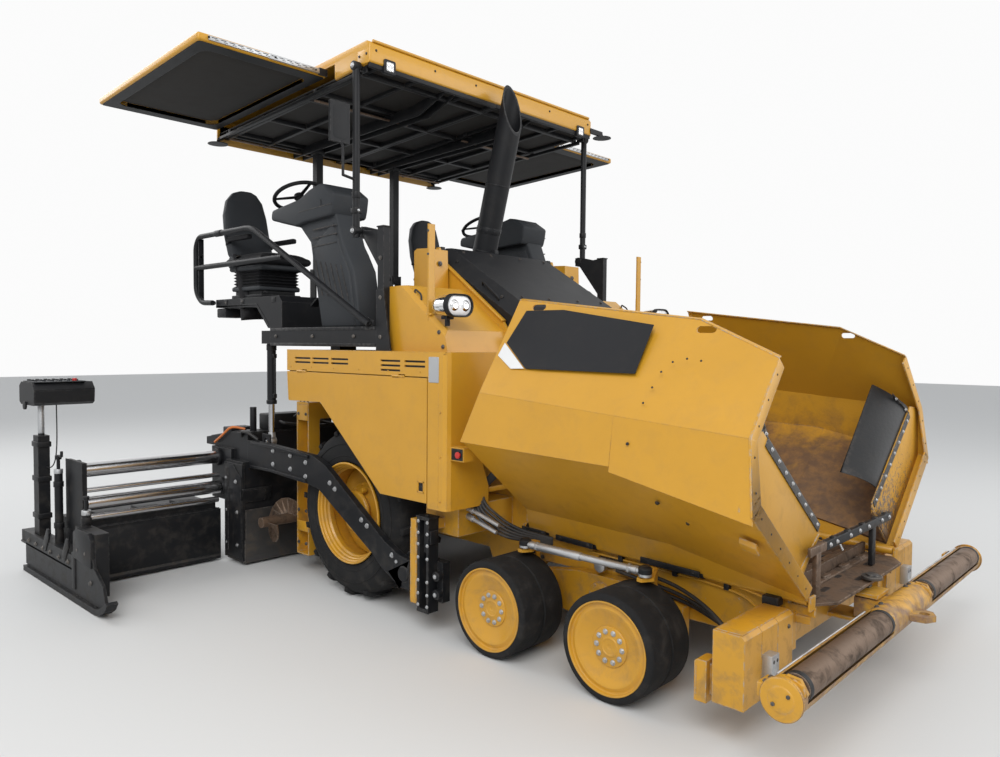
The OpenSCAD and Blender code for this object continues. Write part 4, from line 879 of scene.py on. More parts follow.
def wingInside():
    # inner front plate, and the curved rubber flap bolted along its edge
    piece = begin("wing_inner_plate_right")
    plateX([(-0.668, 0.588), (-1.264, 1.066), (-1.221, 1.374), (-1.06, 1.39), (-0.393, 0.87), (-0.4, 0.8)],
        (2.93, 2.9395))
    plateX([(-0.655, 0.62), (-0.4, 0.812), (-0.396, 0.836), (-0.69, 0.652)], (2.9385, 2.943))
    finishPiece(piece, "wing_right", "chipped", bevel=0.001)
    low, high = Vector((2.9395, -0.393, 0.87)), Vector((2.9395, -1.06, 1.39))
    way = (high - low).normalized()
    inward = Vector((0, 0.615, 0.788))
    strip = begin("wing_flap_strip_right")
    a, b = low + way * 0.004, low.lerp(high, 0.93)
    plate([tuple(a - inward * 0.04), tuple(a + inward * 0.004), tuple(b + inward * 0.004), tuple(b - inward * 0.04)],
        (0.006, 0, 0))
    c = high - way * 0.015 + Vector((-0.075, 0.105, 0.085))
    plate([tuple(b - inward * 0.04), tuple(b + inward * 0.004), tuple(c + inward * 0.012), tuple(c - inward * 0.03)],
        (0.006, 0, 0))
    finishPiece(strip, "wing_right", "steelDark", bevel=0.0015)
    bolts = begin("wing_flap_bolts_right")
    for index in range(8):
        bolt(a.lerp(b, (index + 0.4) / 8) - inward * 0.018 + Vector((0.006, 0, 0)), (1, 0, 0), 0.008)
    for t in (0.25, 0.85):
        bolt(b.lerp(c, t) - inward * 0.012 + Vector((0.006, 0, 0)), (1, 0, 0), 0.009)
    finishPiece(bolts, "wing_right", "galvanised")
    flap = begin("wing_flap_right")
    rows = []
    for number in range(13):
        s = number / 12
        base = low.lerp(high, 0.14 + 0.84 * s) - Vector((0.01, 0, 0))
        row = []
        for step in range(9):
            u = step / 8
            reach = wing["flapReach"] * u
            row.append(tuple(base + inward * reach * (0.84 - 0.24 * (1 - s)) - Vector((0.17 * u ** 1.5, 0,
                0)) + Vector((0, 0, -0.028)) * (1 - s) * u * u + way * 0.012 * math.sin(5 * s) * u))
        rows.append(row)
    layGrid(rows)
    bpy.ops.mesh.extrude_region_move(TRANSFORM_OT_translate={"value": (-0.01, 0.002, 0.002)})
    finishPiece(flap, "wing_right", "rubber", bevel=0.0015, smooth=60)
    return piece, strip, bolts, flap


for wingPiece in [*wingSkin(), *wingEdges(), wingBolts(), *wingInside()]:
    otherSide(wingPiece, wingPiece.name.replace("_right", "_left"), "wing_left",
        replaces=("wing_left",) if wingPiece.name == "wing_skin_right" else ())
wingPanel()
setPlate = bpy.data.objects["wing_inner_plate_left"]
setPlate.data.materials.clear()
setPlate.data.materials.append(finishes["plate"])
print("hopper wings are made")

# dressing helpers


def rename(text):
    return text.replace("_right", "_left")


def pairPiece(piece, body, finish, slotName=None, replaces=(), **shape):
    # finish a right-hand piece and make its twin on the left
    finishPiece(piece, body, finish, slotName, replaces=replaces, **shape)
    otherSide(piece, rename(piece.name), rename(body),
        tuple(rename(name) for name in replaces if rename(name) != name))


def boltSet(name, body, finish, rows, both=True):
    # bolts from a table of place, direction and size
    piece = begin(name)
    for at, direction, size in rows:
        bolt(at, direction, size)
    if both:
        pairPiece(piece, body, finish, "black_paint")
    else:
        finishPiece(piece, body, finish, "black_paint")


def pipeSet(name, body, finish, lines, radius, both=True, bend=0.06, sides=10):
    # tubes or hoses from a table of point lists, as one piece
    tubes = [pipe(name + "_" + str(index), points, radius, sides, bend) for index, points in enumerate(lines)]
    piece = joined(*tubes) if len(tubes) > 1 else tubes[0]
    piece.name = name
    piece.data.name = name
    if both:
        pairPiece(piece, body, finish, smooth=60)
    else:
        finishPiece(piece, body, finish, smooth=60)
    return piece


def roundedOutline(a, b, radius, steps=5):
    # corners of a box from a to b with rounded corners, in two coordinates
    points = []
    for (cx, cy), start in (((b[0] - radius, b[1] - radius), 0), ((a[0] + radius, b[1] - radius), 90),
            ((a[0] + radius, a[1] + radius), 180), ((b[0] - radius, a[1] + radius), 270)):
        for step in range(steps + 1):
            angle = math.radians(start + 90 * step / steps)
            points.append((cx + radius * math.cos(angle), cy + radius * math.sin(angle)))
    return points


def loftRings(rings, capped=(True, True)):
    # closed rings of equal count joined to a skin
    count = len(rings[0])
    bpy.ops.mesh.primitive_grid_add(x_subdivisions=count, y_subdivisions=len(rings) - 1, size=2)
    mesh = bpy.context.object.data
    shape = bmesh.from_edit_mesh(mesh)
    fresh = sorted((vertex for vertex in shape.verts if vertex.select),
        key=lambda vertex: (round(vertex.co.y, 4), round(vertex.co.x, 4)))
    for vertex, point in zip(fresh, [point for ring in rings for point in (*ring, ring[0])]):
        vertex.co = point
    bmesh.update_edit_mesh(mesh)
    for ring, wanted in ((rings[0], capped[0]), (rings[-1], capped[1])):
        if wanted:
            putOutline(ring, True)


def setFinish(table):
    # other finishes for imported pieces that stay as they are
    for nodeName, finish in table.items():
        piece = frame["nodes"][nodeName]
        for index in range(len(piece.material_slots)):
            piece.material_slots[index].material = finishes[finish]


setFinish({"push_beam": "scraped", "conveyor": "worn", "stack": "black", "headlamps": "black",
    "canopy_lamps": "black", "canopy_wing_right": "yellow", "canopy_wing_left": "yellow", "bogie_beams": "chipped",
    "main_frame": "chipped", "tie_rod_right": "galvanised", "tie_rod_left": "galvanised", "engine_block": "black",
    "screed_plate": "steelDark"})

# push beam, rollers and the front of the chassis

pushBeam = {"x": 3.2, "z": 0.405, "radius": 0.08, "half": 1.42, "rollerX": 3.225, "rollerZ": 0.435, "rollerIn": 0.33,
    "rollerOut": 1.35}


def pushBeamParts():
    size = pushBeam
    x, z, half = size["x"], size["z"], size["half"]
    rx, rz = size["rollerX"], size["rollerZ"]
    ring = begin("push_roller_rings_right")
    for y in (size["rollerIn"] + 0.004, size["rollerOut"] - 0.034):
        lathe([(0.0605, 0.0), (0.0622, 0.002), (0.0622, 0.028), (0.0605, 0.03)], (rx, -y, rz), 48, "Y", -1)
    pairPiece(ring, "push_roller_right", "black")
    plates = begin("push_beam_keepers_right")
    for y in (size["rollerIn"] - 0.03, size["rollerOut"] + 0.03):
        rod((rx, -y - 0.008, rz), (rx, -y + 0.008, rz), 0.026, 24)
        plateY([(rx - 0.052, rz - 0.014), (rx - 0.04, rz + 0.022), (rx + 0.01, rz + 0.05), (rx + 0.046, rz + 0.034),
            (rx + 0.056, rz - 0.006), (rx + 0.03, rz - 0.034)], (-y - 0.006, -y + 0.004))
    # rings and end plate at the beam's end
    lathe([(0.0, 0.0), (0.05, 0.0), (0.054, 0.004), (0.084, 0.004), (0.088, 0.008), (0.088, 0.016), (0.08, 0.018)],
        (x, -half - 0.006, z), 48)
    slab((x - 0.115, x - 0.06), (-half + 0.03, -half + 0.13), (z - 0.03, z + 0.03), 0.006)
    pairPiece(plates, "push_beam", "chipped", bevel=0.002)
    rows = [((x + dx, -half - 0.003, z + dz), (0, -1, 0), 0.009) for dx, dz in ((0.03, 0.022), (-0.03, -0.022))]
    rows += [((rx + 0.024, -size["rollerOut"] - 0.036, rz + 0.02), (0, -1, 0), 0.007),
        ((rx - 0.024, -size["rollerOut"] - 0.036, rz - 0.008), (0, -1, 0), 0.007),
        ((x - 0.088, -half + 0.055, z + 0.03), (0, 0, 1), 0.009),
        ((x - 0.088, -half + 0.105, z + 0.03), (0, 0, 1), 0.009), ((x - 0.02, -0.2, z + 0.078), (0, 0, 1), 0.01),
        ((x - 0.02, -0.26, z + 0.076), (0, 0, 1), 0.01)]
    boltSet("push_beam_bolts_right", "push_beam", "steelDark", rows)
    pipeSet("push_beam_strip_right", "push_beam", "galvanised",
        [[(x - 0.05, -0.345, z + 0.066), (x - 0.05, -1.345, z + 0.066)]], 0.005)
    pin = begin("push_beam_pin")
    rod((3.07, 0, 0.545), (3.07, 0, 0.562), 0.052, 32)
    rod((3.07, 0, 0.562), (3.07, 0, 0.572), 0.03, 24)
    slab((3.02, 3.052), (0.02, 0.07), (0.484, 0.494), 0.002)
    finishPiece(pin, "chassis", "steelDark", bevel=0.002)


def frontParts():
    # caps, bolts and plates on the front weights
    plates = begin("weight_plates_right")
    slab((2.8, 2.925), (-1.18, -0.7), (0.5145, 0.5185), 0.001)
    slab((2.7075, 2.7125), (-1.188, -1.095), (0.2, 0.33), 0.001)
    pairPiece(plates, "chassis", "chipped", bevel=0.0015)
    rows = [((2.9405, y, z), (1, 0, 0), 0.008) for y, z in ((-0.74, 0.235), (-0.895, 0.235), (-0.74, 0.45))]
    boltSet("weight_bolts_right", "chassis", "steelDark", rows)
    block = begin("tie_block_right")
    slab((2.9385, 2.9865), (-1.0165, -0.9435), (0.2845, 0.3945), 0.0015)
    pairPiece(block, "chassis", "galvanised")
    # dark discs on the block's face: painted shade for its two holes
    holes = begin("tie_block_holes_right")
    for y in (-0.998, -0.962):
        rod((2.98, y, 0.366), (2.9872, y, 0.366), 0.009, 16)
    pairPiece(holes, "chassis", "dark")
    # hoses and pipes that run from the bogie to the push beam and the hopper's cylinders
    hoses = [[(1.9, -0.64, 0.52), (2.3, -0.69, 0.5), (2.52, -0.76, 0.455), (2.7, -0.86, 0.395), (2.79, -0.9, 0.4)],
        [(1.9, -0.64, 0.48), (2.34, -0.68, 0.45), (2.56, -0.74, 0.405), (2.72, -0.82, 0.345), (2.79, -0.85, 0.33)],
        [(2.05, -0.64, 0.44), (2.4, -0.66, 0.4), (2.6, -0.7, 0.35), (2.79, -0.74, 0.29)]]
    pipeSet("front_hoses_right", "chassis", "hose", hoses, 0.0105, bend=0.12, sides=14)
    ferrules = begin("front_ferrules_right")
    for tip, lead in (((2.79, -0.9, 0.4), (2.745, -0.88, 0.398)), ((2.79, -0.85, 0.33), (2.745, -0.832, 0.338)),
            ((2.79, -0.74, 0.29), (2.745, -0.73, 0.302))):
        rod(lead, tip, 0.0145, 16)
        rod(Vector(lead).lerp(Vector(tip), 0.4), Vector(lead).lerp(Vector(tip), 0.7), 0.018, 6)
    pairPiece(ferrules, "chassis", "galvanised")
    lines = [[(1.7, -0.615, 0.575), (2.4, -0.615, 0.56), (2.62, -0.625, 0.545), (2.845, -0.68, 0.53)],
        [(1.7, -0.615, 0.545), (2.4, -0.615, 0.53), (2.66, -0.625, 0.508), (2.79, -0.7, 0.47)]]
    pipeSet("front_pipes_right", "chassis", "yellow", lines, 0.0065, bend=0.08)
    clips = begin("pipe_clips_right")
    for x in (1.9, 2.25, 2.55):
        slab((x, x + 0.03), (-0.63, -0.598), (0.53 - (x - 1.9) * 0.03, 0.592 - (x - 1.9) * 0.03), 0.004)
    pairPiece(clips, "chassis", "dark")
    # fixings along the side plate and the plate over the bogie
    rows = [((x, -0.601, z), (0, -1, 0), 0.011) for x, z in ((1.25, 0.5), (1.32, 0.44), (1.62, 0.585), (2.02, 0.565),
        (2.2, 0.4), (2.32, 0.38), (2.44, 0.36))]
    boltSet("side_plate_bolts_right", "chassis", "steelDark", rows)


pushBeamParts()
frontParts()

# bogies and steering

bogie = {"places": (1.42, 2.223), "kingY": 0.74, "tieY": 0.96, "tieZ": 0.61, "armReach": 0.07}


def bogieParts():
    size = bogie
    rod1 = begin("tie_rod_parts_right")
    y, z = -size["tieY"], size["tieZ"] + 0.008
    first, last = (x + size["armReach"] for x in size["places"])
    # thicker rear tube, lock nuts and ball housings
    rod((first + 0.1, y, z), (first + 0.4, y, z), 0.0235, 20)
    for x, way in ((first, 1), (last, -1)):
        rod((x + way * 0.045, y, z), (x + way * 0.085, y, z), 0.024, 16, 0.02)
        rod((x + way * 0.085, y, z), (x + way * 0.1, y, z), 0.027, 6)
    pairPiece(rod1, "tie_rod_right", "galvanised", bevel=0.001)
    boots = begin("tie_rod_boots_right")
    for x in (first, last):
        lathe([(0.0, 0.032), (0.02, 0.032), (0.026, 0.029), (0.036, 0.02), (0.0355, -0.006), (0.028, -0.014),
            (0.018, -0.02), (0.0, -0.02)], (x, y, z), 28, "Z")
    pairPiece(boots, "tie_rod_right", "black")
    for place, x in zip(("rear", "front"), size["places"]):
        name = "knuckle_" + place + "_right"
        piece = begin(name + "_parts")
        # steering arm's ribs, king pin caps and the hub's backing ring
        plateY([(x - 0.036, 0.3), (x + 0.036, 0.3), (x + 0.03, 0.56), (x - 0.03, 0.56)],
            (-size["kingY"] - 0.094, -size["kingY"] - 0.088))
        lathe([(0.039, 0.0), (0.062, 0.002), (0.064, 0.018), (0.039, 0.02)], (x, -0.874, 0.272), 32)
        pairPiece(piece, name, "chipped", "yellow_paint", bevel=0.002)
        rows = [((x + dx, -size["kingY"] - 0.094, z), (0, -1, 0), 0.009) for dx in (-0.024, 0.024) for z in (0.34,
            0.54)]
        rows += [((x + 0.02, -0.86, 0.588), (0, 0, 1), 0.01)]
        boltSet(name + "_bolts", name, "steelDark", rows)
        cap = begin("king_pin_cap_" + place + "_right")
        lathe([(0.0, 0.012), (0.028, 0.012), (0.034, 0.006), (0.036, 0.0), (0.0, 0.0)], (x, -size["kingY"], 0.4195),
            28, "Z")
        rod((x, -size["kingY"], 0.43), (x, -size["kingY"], 0.444), 0.006, 8)
        pairPiece(cap, "chassis", "galvanised")
    # steering cylinder's grey shaft through the oval hole
    shaft = begin("bogie_shaft_right")
    rod((1.8215, -0.5, 0.5), (1.8215, -0.672, 0.5), 0.026, 24)
    rod((1.8215, -0.672, 0.5), (1.8215, -0.7, 0.5), 0.036, 24)
    pairPiece(shaft, "chassis", "galvanised", bevel=0.0015)
    pivot = begin("bogie_pivot_right")
    lathe([(0.0, -0.02), (0.052, -0.02), (0.058, -0.014), (0.074, -0.012), (0.078, 0.0), (0.0, 0.0)],
        (1.8215, -0.6805, 0.33), 40)
    for index in range(6):
        turn = math.tau * index / 6
        bolt((1.8215 + 0.064 * math.cos(turn), -0.6925, 0.33 + 0.064 * math.sin(turn)), (0, -1, 0), 0.006)
    pairPiece(pivot, "chassis", "chipped")


bogieParts()
print("the front and the bogies are dressed")

# hull, cheeks, hood and lamps

hullSize = {"half": 1.25, "top": 1.71, "rear": -0.55, "front": 1.135}


def hullParts():
    half = hullSize["half"]
    # thin folded lips round the door and the strip above it
    edge = begin("hull_edges_right")
    slab((-0.552, 1.12), (-half - 0.0005, -half + 0.02), (1.706, 1.7115), 0.0015)
    slab((1.06, 1.066), (-half - 0.001, -half + 0.003), (0.8, 1.556), 0.0008)
    plateY([(-0.548, 1.556), (-0.54, 1.556), (-0.523, 1.36), (-0.531, 1.354)], (-half - 0.002, -half + 0.004))
    pairPiece(edge, "chassis", "yellow", bevel=0.001)
    # dark slabs behind the louvres: painted shade for the depth behind their fins
    back = begin("louvre_backs_right")
    for x1, x2, count in ((-0.448, -0.254, 2), (-0.23, -0.036, 2), (-0.007, 0.185, 2), (0.526, 0.716, 3),
            (0.757, 0.945, 2)):
        slab((x1 - 0.01, x2 + 0.01), (-half + 0.0125, -half + 0.0155), (1.642 - 0.029 * (count - 1), 1.668))
    pairPiece(back, "chassis", "dark")
    # blank grey plate by the hull's front corner
    sign = begin("grey_plate_right")
    plateY(roundedOutline((0.979, 1.532), (1.066, 1.682), 0.006), (-half - 0.0022, -half + 0.001))
    finishPiece(sign, "chassis", "galvanised")
    # latch of the door: a sunk tray with a lever and its lock
    latch = begin("door_latch_right")
    slab((0.886, 0.934), (-half + 0.004, -half + 0.012), (0.874, 0.936), 0.004)
    slab((0.893, 0.927), (-half - 0.0005, -half + 0.006), (0.884, 0.912), 0.003)
    rod((0.91, -half + 0.004, 0.922), (0.91, -half - 0.001, 0.922), 0.006, 16)
    pairPiece(latch, "door_right", "black")
    frameRing = begin("door_latch_frame_right")
    for x1, x2, z1, z2 in ((0.88, 0.94, 0.932, 0.94), (0.88, 0.94, 0.87, 0.878), (0.88, 0.888, 0.87, 0.94),
            (0.932, 0.94, 0.87, 0.94)):
        slab((x1, x2), (-half - 0.003, -half + 0.002), (z1, z2), 0.001)
    pairPiece(frameRing, "door_right", "yellow")
    # stiffeners pressed along the door's rim
    lip = begin("door_lip_right")
    slab((-0.52, 0.955), (-half + 0.01, -half + 0.034), (1.545, 1.553), 0.001)
    plateY([(-0.13, 1.358), (-0.126, 1.366), (0.527, 0.827), (0.523, 0.817)], (-half + 0.01, -half + 0.04))
    slab((0.53, 0.955), (-half + 0.01, -half + 0.036), (0.815, 0.823), 0.001)
    pairPiece(lip, "door_right", "yellow")
    # switch box with its red knob
    switch = begin("switch_box_right")
    slab((1.146, 1.238), (-1.2235, -1.2195), (1.092, 1.158), 0.001)
    rod((1.215, -1.2215, 1.125), (1.215, -1.227, 1.125), 0.022, 24)
    pairPiece(switch, "chassis", "black")
    knob = begin("switch_knob_right")
    rod((1.215, -1.227, 1.125), (1.215, -1.238, 1.125), 0.014, 24)
    rod((1.215, -1.238, 1.125), (1.215, -1.245, 1.125), 0.02, 24, 0.018)
    pairPiece(knob, "chassis", "red", bevel=0.001)
    rows = [((x, -half - 0.0004, 1.59), (0, -1, 0), 0.004) for x in (-0.5, -0.24, 0.02, 0.3, 0.6, 0.9)]
    rows += [((1.08, -half - 0.0004, z), (0, -1, 0), 0.0055) for z in (0.84, 1.1, 1.36)]
    boltSet("hull_bolts_right", "chassis", "yellow", rows)


def cheekParts():
    # bolts, hooks and handles about the cheek, and the flat post's foot
    rows = [((0.63, -1.13, 2.062), (0.2, -0.6, 0.8), 0.011), ((0.956, -1.1505, 1.828), (0, -1, 0), 0.01),
        ((0.992, -1.1505, 1.741), (0, -1, 0), 0.01), ((0.47, -1.1505, 1.79), (0, -1, 0), 0.01),
        ((0.47, -1.1505, 2.02), (0, -1, 0), 0.01), ((0.4905, -0.72, 2.3), (1, 0, 0), 0.013),
        ((0.857, -1.153, 2.3), (0, -1, 0), 0.006), ((0.857, -1.153, 2.44), (0, -1, 0), 0.006)]
    boltSet("cheek_bolts_right", "chassis", "steelDark", rows)
    handle = [(0.7, -1.12, 2.06), (0.7, -1.12, 2.098), (0.76, -1.12, 2.062), (0.76, -1.12, 2.012)]
    pipeSet("cheek_hook_right", "chassis", "dark", [handle], 0.006, bend=0.02)
    foot = begin("flat_post_foot_right")
    slab((0.835, 0.882), (-1.149, -1.095), (1.93, 1.944), 0.003)
    slab((0.846, 0.851), (-1.149, -1.106), (1.9, 2.14), 0.0015)
    pairPiece(foot, "chassis", "yellow", bevel=0.001)
    # yellow frame along the hood's edges
    rails = begin("hood_frame_right")
    plateY([(0.398, 2.333), (0.398, 2.345), (0.992, 1.914), (0.986, 1.905)], (-0.636, -0.6))
    slab((1.0995, 1.1205), (-0.6, 0.0), (1.8395, 1.8465), 0.001)
    pairPiece(rails, "chassis", "yellow", bevel=0.0015)


def hoodParts():
    # a grab handle on the sloping facet and corner bolts
    facet = Vector((0.0, -0.7071, 0.7071))
    a, b = Vector((0.742, -0.56, 2.15)), Vector((0.89, -0.56, 2.036))
    lift = Vector((0.3, -0.45, 0.55)).normalized() * 0.04
    pipeSet("hood_handle_right", "hood", "black", [[a - lift * 0.15, a + lift, b + lift, b - lift * 0.15]], 0.0065,
        bend=0.02)
    slope = Vector((0.648, 0, -0.391)).normalized()
    up = Vector((0.391, 0, 0.648)).normalized()
    start = Vector((0.384, 0, 2.432))
    rows = [(tuple(start + slope * d + Vector((0, y, 0))), tuple(up), 0.009) for d in (0.05, 0.7) for y in (-0.44,
        -0.16)]
    rows += [(tuple(Vector((0.48, -0.552, 2.33)) + slope * d), (0.3, -0.7, 0.65), 0.009) for d in (0.0, 0.5)]
    boltSet("hood_bolts_right", "hood", "dark", rows)


def stadium(x, y, z, reach, radius, steps=10):
    # a long round outline across the X axis
    points = []
    for end, turn in ((1, -90), (-1, 90)):
        for step in range(steps + 1):
            angle = math.radians(turn + step * 180 / steps)
            points.append((x, y + end * reach + radius * math.cos(angle), z + radius * math.sin(angle)))
    return points


def headlampParts():
    y, z = -1.11, 1.985
    shell = begin("headlamp_shell_right")
    rings = [stadium(x, y, z, reach, radius) for x, reach, radius in ((0.908, 0.02, 0.034), (0.93, 0.032, 0.046),
        (0.975, 0.038, 0.058), (1.03, 0.04, 0.064), (1.072, 0.04, 0.066), (1.072, 0.04, 0.058), (1.03, 0.036, 0.052),
        (0.99, 0.03, 0.04))]
    loftRings(rings)
    pairPiece(shell, "chassis", "lamp", replaces=("headlamps",), smooth=50)
    rim = begin("headlamp_rim_right")
    loftRings([stadium(x, y, z, 0.04, radius) for x, radius in ((1.06, 0.0665), (1.062, 0.0685), (1.096, 0.0685),
        (1.1, 0.066), (1.098, 0.06), (1.066, 0.06), (1.06, 0.0665))], (False, False))
    rod((0.985, -1.11, 1.866), (0.985, -1.11, 1.93), 0.016, 20)
    slab((0.96, 1.01), (-1.14, -1.08), (1.905, 1.925), 0.003)
    rod((0.905, y, z - 0.01), (0.935, y, z - 0.01), 0.026, 20)
    pairPiece(rim, "chassis", "black")
    glass = begin("headlamp_lens_right")
    loftRings([stadium(1.084, y, z, 0.04, 0.06), stadium(1.09, y, z, 0.038, 0.052),
        stadium(1.094, y, z, 0.03, 0.034)])
    pairPiece(glass, "chassis", "lens", smooth=60)
    bulbs = begin("headlamp_bulbs_right")
    for side in (-1, 1):
        lathe([(0.0, 0.006), (0.02, 0.008), (0.034, 0.0), (0.035, -0.002), (0.0, -0.002)],
            (1.0935, y + side * 0.043, z), 32, "X")
    pairPiece(bulbs, "chassis", "lamp")


def stackParts():
    # clamp ring, rivets and the foot's bolts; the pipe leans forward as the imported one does
    foot, head = Vector((0.19, 0, 2.405)), Vector((0.62, 0, 4.0))
    way = (head - foot).normalized()
    ring = begin("stack_rings")
    for d, wide in ((0.06, 0.016), (0.205, 0.045), (0.56, 0.012)):
        rod(foot + way * d, foot + way * (d + wide), 0.0945, 40)
    slab((0.2, 0.335), (-0.02, 0.02), (2.424, 2.47), 0.004)
    slab((0.058, 0.332), (-0.142, 0.142), (2.424, 2.43), 0.002)
    side = way.cross(Vector((0, 1, 0)))
    for index in range(10):
        turn = math.tau * index / 10
        out = Vector((0, 1, 0)) * math.cos(turn) + side * math.sin(turn)
        at = foot + way * 0.228 + out * 0.0945
        rod(at - out * 0.002, at + out * 0.004, 0.005, 10)
    for x in (0.085, 0.305):
        for y in (-0.115, 0.115):
            bolt((x, y, 2.43), (0, 0, 1), 0.009)
    finishPiece(ring, "chassis", "black", bevel=0.0012)


hullParts()
cheekParts()
hoodParts()
headlampParts()
stackParts()
print("hull, hood and lamps are dressed")

# canopy: roof, sliding wings, lamps, posts and mirrors

canopy = {"top": 3.707, "front": 0.32, "rear": -1.72, "half": 1.183, "fall": 0.0494}


def roofUnder():
    # dark lining below the shell with its ribs, and the trays that carry the side wings
    top = canopy["top"]
    lining = begin("roof_lining")
    plateY([(0.296, top - 0.151), (0.296, top - 0.143), (-1.694, top - 0.241), (-1.694, top - 0.249)], (-1.16, 1.16))
    finishPiece(lining, "canopy_roof", "inset")
    ribs = begin("roof_ribs_right")
    for y in (-1.12, -0.78, -0.345, -0.03):
        plateY([(0.29, top - 0.174), (0.29, top - 0.149), (-1.69, top - 0.247), (-1.69, top - 0.29)], (y, y + 0.03))
    for x in (0.15, -0.48, -1.06, -1.62):
        high = top - 0.15 + (x - 0.29) * 0.0494
        slab((x, x + 0.034), (-1.15, 0.0), (high - 0.034, high))
    pairPiece(ribs, "canopy_roof", "black", bevel=0.003)
    # drop valance at the rear and side trays
    rail = begin("roof_side_rail_right")
    plateY([(0.2, top - 0.205), (0.2, top - 0.18), (-1.7, top - 0.278), (-1.7, top - 0.3)], (-1.178, -1.15))
    slab((-1.716, -1.7), (-1.17, 0.0), (top - 0.274, top - 0.18), 0.002)
    slab((0.29, 0.312), (-1.175, 0.0), (top - 0.176, top - 0.14), 0.003)
    pairPiece(rail, "canopy_roof", "black", bevel=0.002)
    # rounded gutter along the fascia and the corner brackets
    trim = begin("roof_trim_right")
    rod((0.312, -1.15, top - 0.006), (0.312, 0.0, top - 0.006), 0.01, 14)
    slab((0.196, 0.312), (-1.1845, -1.1785), (top - 0.15, top - 0.06), 0.002)
    pairPiece(trim, "canopy_roof", "yellow")
    rows = [((0.3205, y, top - 0.064), (1, 0, 0), 0.006) for y in (-1.13, -0.62, -0.22)]
    rows += [((x, -1.184, top - drop - (0.3 - x) * 0.05), (0, -1, 0), 0.007) for x,
        drop in ((0.215, 0.09), (0.29, 0.09), (-0.6, 0.03), (-1.4, 0.03))]
    boltSet("roof_bolts_right", "canopy_roof", "dark", rows)


def roofLamps():
    top = canopy["top"]
    body = begin("work_lamp_right")
    plateX(roundedOutline((-1.07, top - 0.19), (-0.976, top - 0.1), 0.012), (0.298, 0.331))
    for index in range(5):
        slab((0.28, 0.299), (-1.062 + index * 0.018, -1.057 + index * 0.018), (top - 0.18, top - 0.11))
    pairPiece(body, "canopy_roof", "black", bevel=0.002, replaces=("canopy_lamps",))
    lens = begin("work_lamp_lens_right")
    plateX(roundedOutline((-1.052, top - 0.174), (-0.994, top - 0.1165), 0.008), (0.3305, 0.3325))
    pairPiece(lens, "canopy_roof", "lens")
    leds = begin("work_lamp_cells_right")
    for dy in (-1.0375, -1.0085):
        for dz in (0.131, 0.16):
            lathe([(0.0, 0.003), (0.01, 0.003), (0.0145, 0.0), (0.0, 0.0)], (0.3322, dy, top - dz), 24, "X")
    pairPiece(leds, "canopy_roof", "lamp")


awning = {"front": -0.12, "rear": -1.66, "inner": -1.2, "outer": -2.11, "top": 0.107, "deep": 0.05, "fall": 0.04935,
    "insetX": (-0.23, -1.56), "insetY": (-1.28, -2.02), "railY": (-2.045, -1.27)}


